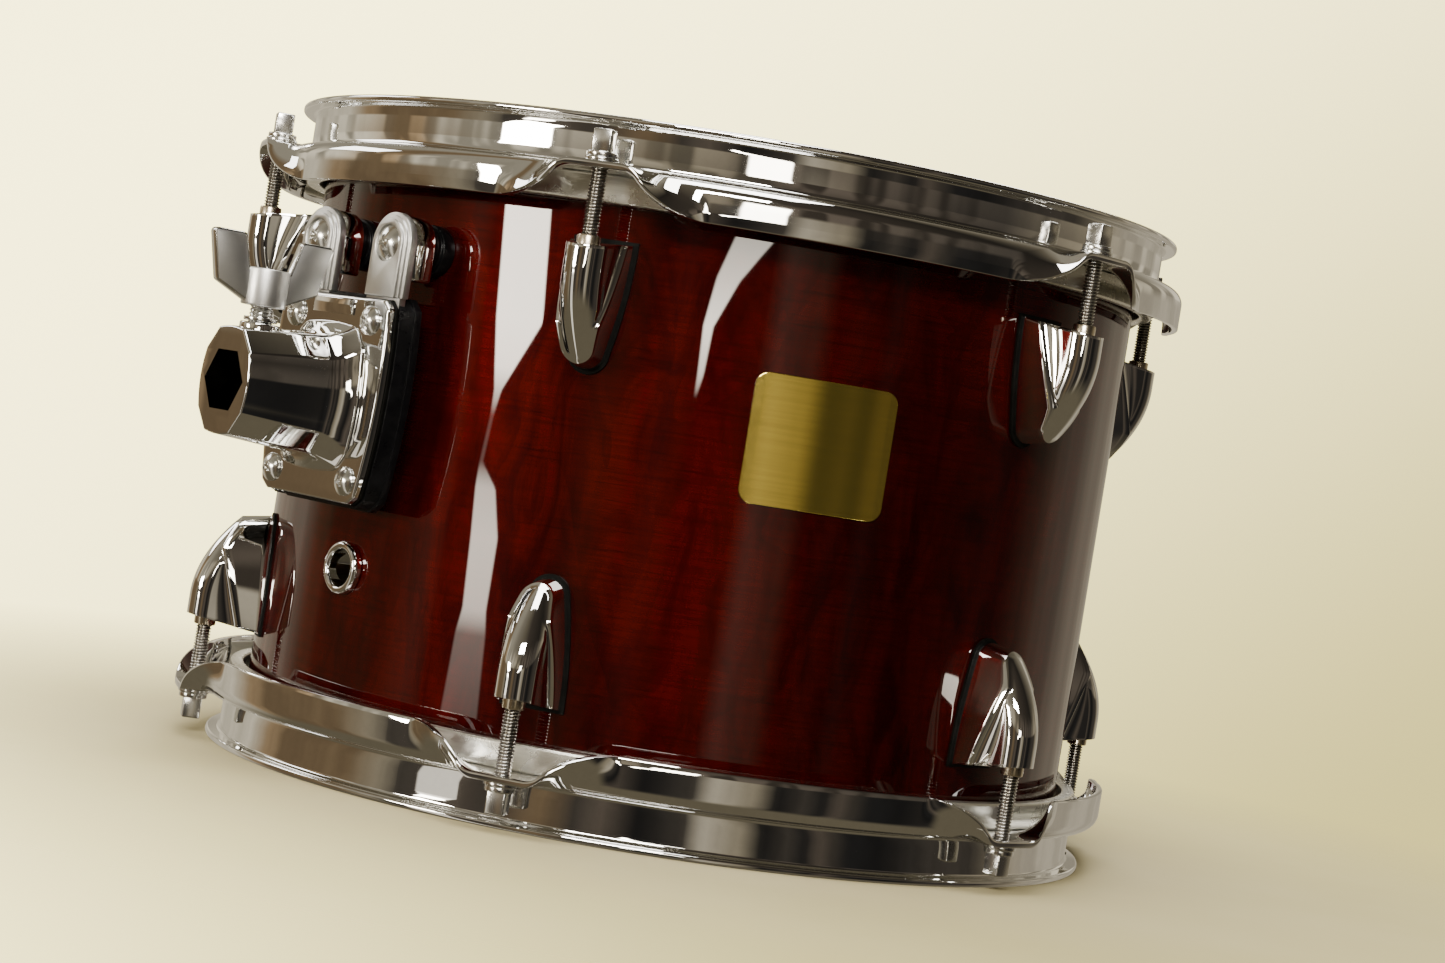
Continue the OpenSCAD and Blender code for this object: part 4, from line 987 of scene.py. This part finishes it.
# a pan head on the plane x = 0 with a tapered cross recess, and its shank behind it
def panScrew(name, headD, headH, shankR, shankLen):
    domeH = headH * screw["domeShare"]
    domeR = (headD ** 2 / 4 + domeH ** 2) / (2 * domeH)
    spread = math.degrees(math.asin(headD / 2 / domeR))
    line = [(0, -shankLen), (shankR, -shankLen), (shankR, 0)]
    line += [(headD / 2 - screw["rim"], 0), (headD / 2, screw["rim"])]
    line += arc((0, headH - domeR), domeR, 90 - spread, 90, screw["domeSteps"])
    piece = spinPiece(name, line, screw["steps"])
    slotTop, slotLow = headH + screw["slotRise"], headH - headH * screw["slotDeep"]
    for turn in (0, math.pi / 2):
        slot = started(bpy.ops.mesh.primitive_cube_add, size=1)
        for vertex in slot.data.vertices:
            x, y, z = vertex.co
            length, width = screw["slotTop"] if z > 0 else screw["slotFoot"]
            vertex.co = (x * headD * length, y * headD * width, slotTop if z > 0 else slotLow)
        slot.data.transform(Matrix.Rotation(turn, 4, "Z"))
        cutAway(piece, slot)
    bevelled(piece, screw["edge"], segments=2, angle=40)
    piece.data.transform(Matrix.Rotation(math.pi / 2, 4, "Y"))
    return piece


mountScrews = {
    "receiver_screws": {"name": "receiverScrews", "headD": 9.6, "headH": 2.9, "shankR": 2.5,
                        "turns": (20, 65, 40, 5)},
    "ear_screws": {"name": "earScrews", "headD": 11.8, "headH": 3.0, "shankR": 3.0, "turns": (15, 50)},
}


def makeScrews():
    for node, kind in mountScrews.items():
        low, high = corners(node)
        top = -low.x
        seat = top - kind["headH"]
        pattern = panScrew("screw", kind["headD"], kind["headH"], kind["shankR"], seat + high.x)
        half = kind["headD"] / 2
        ups = [low.z + half]
        if high.z - low.z > 2 * kind["headD"]:
            ups.append(high.z - half)
        spots = [(y, z) for y in (low.y + half, high.y - half) for z in ups]
        copies = []
        for (y, z), turn in zip(spots, kind["turns"]):
            matrix = Matrix.Translation((-seat, y, z)) @ Matrix.Rotation(math.pi, 4, "Z")
            copies.append(copyOf(pattern, "screw", matrix @ Matrix.Rotation(math.radians(turn), 4, "X")))
        piece = joined(copies, kind["name"])
        finishPiece(piece, "drum_body", steel, [node], angle=32)
        bpy.data.objects.remove(pattern)


# wing bolt, shaped about its own axis and up from the hub's foot
wing = {"hubR": 7.3, "hubH": 12.2, "hubRound": 0.5, "neck": 5.0, "collarR": 5.5, "collarH": 1.4,
        "collarRound": 0.3, "stemR": 4.0, "stemIn": 0.5, "tipBreak": 0.4, "threadDepth": 0.5,
        "pitch": 1.25, "turn": 168, "foot": 1.2, "lowOut": 17.5, "lowUp": 6.2, "span": 41.6, "high": 22.8,
        "apart": 18.6, "round": 1.5, "lap": 0.5, "thick": 4.6, "edge": 0.7}


# hub, collar and threaded stem of the wing bolt, with its foot at height 0
def makeStem(tip):
    hubLine = discEdge(wing["hubR"], 0, wing["hubH"], wing["hubRound"], 4)
    hub = spinPiece("hub", [(0, 0)] + hubLine + [(0, wing["hubH"])], steps=72)
    low, high = -wing["neck"], wing["collarH"] - wing["neck"]
    ring = discEdge(wing["collarR"], low, high, wing["collarRound"], 3)
    collar = spinPiece("collar", [(0, low)] + ring + [(0, high)], steps=64)
    breakZ = tip + wing["tipBreak"]
    stemLine = [(0, tip), (wing["stemR"] - wing["tipBreak"], tip), (wing["stemR"], breakZ)]
    turns = int((wing["stemIn"] - breakZ - wing["tipBreak"]) / wing["pitch"] * 2)
    for i in range(turns):
        deep = wing["threadDepth"] if i % 2 else 0
        stemLine.append((wing["stemR"] - deep, breakZ + (i + 1) * wing["pitch"] / 2))
    stem = spinPiece("stem", stemLine + [(0, stemLine[-1][1])], steps=40)
    for part, finish in ((hub, satinZinc), (collar, polishedZinc), (stem, polishedZinc)):
        part.data.materials.append(finish)
    return [hub, collar, stem]


def makeBlade(turn):
    corner, top, lap = wing["round"], wing["high"] - wing["round"], wing["lap"]
    outline = [(0, wing["foot"]), (wing["hubR"], wing["foot"]), (wing["lowOut"], wing["lowUp"])]
    outline += arc((wing["span"] / 2 - corner, top), corner, 0, 90, 5)
    outline += arc((wing["apart"] / 2 + corner, top), corner, 90, 180, 5)
    outline += [(wing["hubR"] - lap, wing["hubH"] - lap), (0, wing["hubH"] - lap)]
    blade = started(bpy.ops.mesh.primitive_circle_add, vertices=len(outline), radius=1, fill_type="NGON")
    for vertex, (x, z) in zip(blade.data.vertices, outline):
        vertex.co = (x, -wing["thick"] / 2, z)
    editAll(blade)
    bpy.ops.mesh.extrude_region_move(TRANSFORM_OT_translate={"value": (0, wing["thick"], 0)})
    bpy.ops.mesh.select_all(action="SELECT")
    bpy.ops.mesh.normals_make_consistent(inside=False)
    editDone()
    bevelled(blade, wing["edge"], segments=2, angle=40)
    blade.data.materials.append(polishedZinc)
    blade.data.materials.append(satinZinc)
    for face in blade.data.polygons:
        face.material_index = 1 if abs(face.normal.y) > 0.99 else 0
    blade.data.transform(Matrix.Rotation(turn, 4, "Z"))
    return blade


def makeWingBolt():
    low, high = corners("wing_bolt")
    hubZ = high.z - wing["high"]
    axisX = -(mouthX - receiver["boltIn"])
    stem = makeStem(low.z - hubZ)
    piece = joined([makeBlade(0), makeBlade(math.pi)] + stem, "wingBolt")
    turned = Matrix.Rotation(math.radians(180 + wing["turn"]), 4, "Z")
    piece.data.transform(Matrix.Translation((axisX, 0, hubZ)) @ turned)
    finishPiece(piece, "wing_bolt", None, ["wing_bolt"], angle=32)


makeMount()
makePosts()
makeReceiver()
makeScrews()
makeWingBolt()
print("mount fitted")


# frame parts that keep their own shape

plainParts = {
    "top_lug_gaskets": gasketRubber, "bottom_lug_gaskets": gasketRubber, "lug_screws": steel,
    "lug_screw_washers": steel, "ear_washers": steel, "ear_nuts": steel, "vent_backing_ring": chrome,
    "clamp_shoe": steel,
}
for node, finish in plainParts.items():
    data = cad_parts[node].data
    data.materials.clear()
    data.materials.append(finish)
print("frame parts finished")


# floor, light and camera

stage = {
    "floorR": 0.5, "floorFade": (0.17, 0.475), "floorPale": (0.62, 0.545, 0.31),
    "floorDeep": (0.57, 0.495, 0.265), "cream": (5.8, 5.1, 2.3), "shade": (1.25, 1.06, 0.36),
    "shadeWay": (0.62, -0.55, -0.95), "shadeSpan": (-0.28, 0.34), "ground": (0.13, 0.11, 0.07),
    "groundSpan": (-0.6, -0.28), "upperSpan": (0.075, 0.115),
    "lines": (5, 5, 0.6), "linePart": (0.36, 0.64), "lineSpan": (0.85, 1.15),
    "clutter": (7, 7, 1.2), "clutterPart": (0.42, 0.6), "clutterSpan": (0.5, 1.5),
    "calmSpan": (0.14, 0.45), "ceiling": 0.5, "daylight": (1.5, 1.38, 1.17), "edgeSoft": 0.45,
    "lowest": -8, "highest": 16, "brightest": 40,
}
# plain tones of what the drum mirrors
tones = {
    "black": (0.015, 0.014, 0.013), "dusk": (0.045, 0.038, 0.03), "umber": (0.1, 0.08, 0.06),
    "walnut": (0.16, 0.11, 0.06), "clay": (0.26, 0.22, 0.15), "oak": (0.35, 0.24, 0.13),
    "sand": (0.4, 0.35, 0.26), "cream": (0.62, 0.55, 0.41),
}
# bands level with the drum: turns about it in degrees, with the tone that is met there
lowBands = (
    (-180, "umber"), (-170, "dusk"), (-158, "walnut"), (-149, "dusk"), (-142, "umber"), (-133, "black"),
    (-121, "dusk"), (-116, "sand"), (-107, "clay"), (-101, "black"), (-94, "dusk"), (-89, "black"),
    (-85, "umber"), (-81, "dusk"), (-77, "black"), (-68, "black"), (-50, "dusk"), (-36, "dusk"),
    (-20, "clay"), (-10, "sand"), (60, "cream"), (100, "cream"), (110, "oak"), (118, "walnut"),
    (146, "walnut"), (157, "clay"), (162, "dusk"), (180, "umber"),
)
# bands above the drum, which are lighter
highBands = (
    (-180, "sand"), (-150, "clay"), (-120, "umber"), (-60, "dusk"), (-25, "clay"), (20, "cream"),
    (110, "cream"), (125, "oak"), (135, "oak"), (142, "cream"), (160, "cream"), (180, "sand"),
)
# bright panels as rows up their height: height, left edge and right edge in degrees, and brightness
panels = {
    "tall": ((-7, 168, 180, 0.6), (-4.5, 169, 178, 2), (-4, 170, 177, 10), (-2.5, 169, 177, 12),
             (-1.5, 168, 174, 10), (-1, 168, 169, 1), (0, 169, 170, 1), (0.5, 169, 171, 12),
             (1, 168, 174, 26), (2, 166, 180, 30), (4.5, 163, 177, 30), (8.5, 161, 176, 30),
             (9, 161, 176, 0)),
    "front": ((1, -136, -135.5, 0), (1.5, -136, -134.5, 14), (2.5, -136.5, -134, 22),
              (3.5, -135, -129, 14), (4.5, -131.5, -121, 8), (8.5, -131, -120, 10), (9, -131, -120, 0)),
}


def makeFloor():
    floor = started(bpy.ops.mesh.primitive_circle_add, vertices=128, radius=stage["floorR"],
                    fill_type="NGON")
    floor.name = "studioFloor"
    finish = Finish("paleFloor", Roughness=0.85)
    away = finish.node("VectorMath", {0: finish.place}, operation="LENGTH").outputs["Value"]
    fade = finish.spread(away, 1, 0, *stage["floorFade"])
    # the floor is left out of mirrors, and of views from below
    mirrored = finish.node("LightPath").outputs["Is Glossy Ray"]
    under = finish.node("NewGeometry").outputs["Backfacing"]
    for hidden in (mirrored, under):
        fade = finish.maths("MULTIPLY", fade, finish.spread(hidden, 1, 0, 0, 1))
    finish.feed("Alpha", fade)
    mottle = finish.noise((9, 9, 9), 3, 0.5)
    finish.feed("Base Color", finish.ramp(mottle, ((0.3, stage["floorDeep"]), (0.7, stage["floorPale"]))))
    floor.data.materials.append(finish.material)


# the drum mirrors dim bands and two bright panels, and the camera sees a cream backdrop with painted shade
# darkening it towards one side
def makeSurround():
    world = bpy.data.worlds.new("studio")
    bpy.context.scene.world = world
    world.use_nodes = True
    surround = Nodes(world.node_tree, "Generated")
    parts = surround.node("SeparateXYZ", {0: surround.place}).outputs
    up = parts[2]
    around = surround.spread(surround.maths("ARCTAN2", parts[1], parts[0]), 0, 1, -math.pi, math.pi)

    def smooth(value, span, low, high):
        return surround.spread(value, low, high, *span, interpolation_type="SMOOTHSTEP")

    def panorama(rows):
        return surround.ramp(around, [(turn / 360 + 0.5, tones[tone]) for turn, tone in rows])

    def scaled(colour, amount):
        return surround.node("VectorMath", {0: colour, "Scale": amount}, operation="SCALE").outputs[0]

    low, high, most = stage["lowest"], stage["highest"], stage["brightest"]
    level = surround.spread(surround.maths("ARCSINE", up), 0, 1, math.radians(low), math.radians(high))
    soft = (-stage["edgeSoft"] / 360, stage["edgeSoft"] / 360)
    glow = 0.0
    for rows in panels.values():
        stops = [((height - low) / (high - low), (left / 360 + 0.5, right / 360 + 0.5, bright / most))
                 for height, left, right, bright in rows]
        edges = surround.node("SeparateColor", {0: surround.ramp(level, stops)}).outputs
        left = smooth(surround.maths("SUBTRACT", around, edges[0]), soft, 0, 1)
        right = smooth(surround.maths("SUBTRACT", edges[1], around), soft, 0, 1)
        bright = surround.maths("MULTIPLY", edges[2], most)
        glow = surround.maths("MULTIPLY_ADD", surround.maths("MULTIPLY", left, right), bright, glow)
    lines = smooth(surround.noise(stage["lines"], 3.0), stage["linePart"], *stage["lineSpan"])
    busy = smooth(surround.noise(stage["clutter"], 1.5), stage["clutterPart"], *stage["clutterSpan"])
    calm = smooth(up, stage["calmSpan"], 0, 1)
    busy = surround.maths("MULTIPLY_ADD", calm, surround.maths("SUBTRACT", stage["ceiling"], busy), busy)
    upper = smooth(up, stage["upperSpan"], 0, 1)
    banded = surround.mix(upper, scaled(panorama(lowBands), lines), scaled(panorama(highBands), busy))
    banded = surround.mix(smooth(up, stage["groundSpan"], 1, 0), banded, (*stage["ground"], 1))
    shine = scaled(stage["daylight"], glow)
    lit = surround.node("VectorMath", {0: banded, 1: shine}, operation="ADD").outputs[0]
    # painted shade: the backdrop darkens from cream to the shade tone along shadeWay
    facing = surround.node("VectorMath", {0: surround.place, 1: stage["shadeWay"]}, operation="DOT_PRODUCT")
    shade = smooth(facing.outputs["Value"], stage["shadeSpan"], 0, 1)
    backdrop = surround.mix(shade, (*stage["cream"], 1), (*stage["shade"], 1))
    seen = surround.mix(surround.node("LightPath").outputs["Is Camera Ray"], lit, backdrop)
    surround.tree.links.new(seen, surround.tree.nodes["Background"].inputs["Color"])


# soft boxes: turn and height in degrees about the drum's middle, distance, width, height, power, colour
lamps = {
    "overhead": (-140, 72, 1.8, 0.9, 0.9, 26, (1.0, 0.97, 0.92)),
    "frontFill": (-138, 24, 2.2, 0.9, 0.4, 42, (1.0, 0.95, 0.88)),
    "sideSoft": (116, 26, 2.2, 0.9, 0.5, 8, (1.0, 0.97, 0.92)),
    "backFill": (40, 40, 2.2, 1.2, 0.8, 25, (1.0, 0.97, 0.92)),
}


def makeLamps():
    middle = Vector((0, 0, midZ * mm))
    for name, (turn, height, away, width, tall, power, colour) in lamps.items():
        t, e = math.radians(turn), math.radians(height)
        toward = Vector((math.cos(t) * math.cos(e), math.sin(t) * math.cos(e), math.sin(e)))
        light = bpy.data.lights.new(name, "AREA")
        light.shape = "RECTANGLE"
        light.size, light.size_y = width, tall
        light.energy, light.color = power, colour
        lamp = bpy.data.objects.new(name, light)
        bpy.context.collection.objects.link(lamp)
        aim = toward.to_track_quat("Z", "Y").to_matrix().to_4x4()
        lamp.matrix_world = Matrix.Translation(middle + toward * away) @ aim


view = {"place": (-0.70951, -0.76457, 0.13007), "toward": (0.68794, 0.72569, -0.01059), "roll": 9.21,
        "lens": 69.49, "sensor": 36}


def makeCamera():
    data = bpy.data.cameras.new("photoView")
    data.sensor_width, data.lens = view["sensor"], view["lens"]
    data.sensor_fit = "HORIZONTAL"
    camera = bpy.data.objects.new("photoView", data)
    bpy.context.collection.objects.link(camera)
    aim = Vector(view["toward"]).to_track_quat("-Z", "Y") @ Quaternion((0, 0, 1), math.radians(view["roll"]))
    camera.matrix_world = Matrix.Translation(view["place"]) @ aim.to_matrix().to_4x4()
    bpy.context.scene.camera = camera


makeFloor()
makeSurround()
makeLamps()
makeCamera()
print("stage lit")
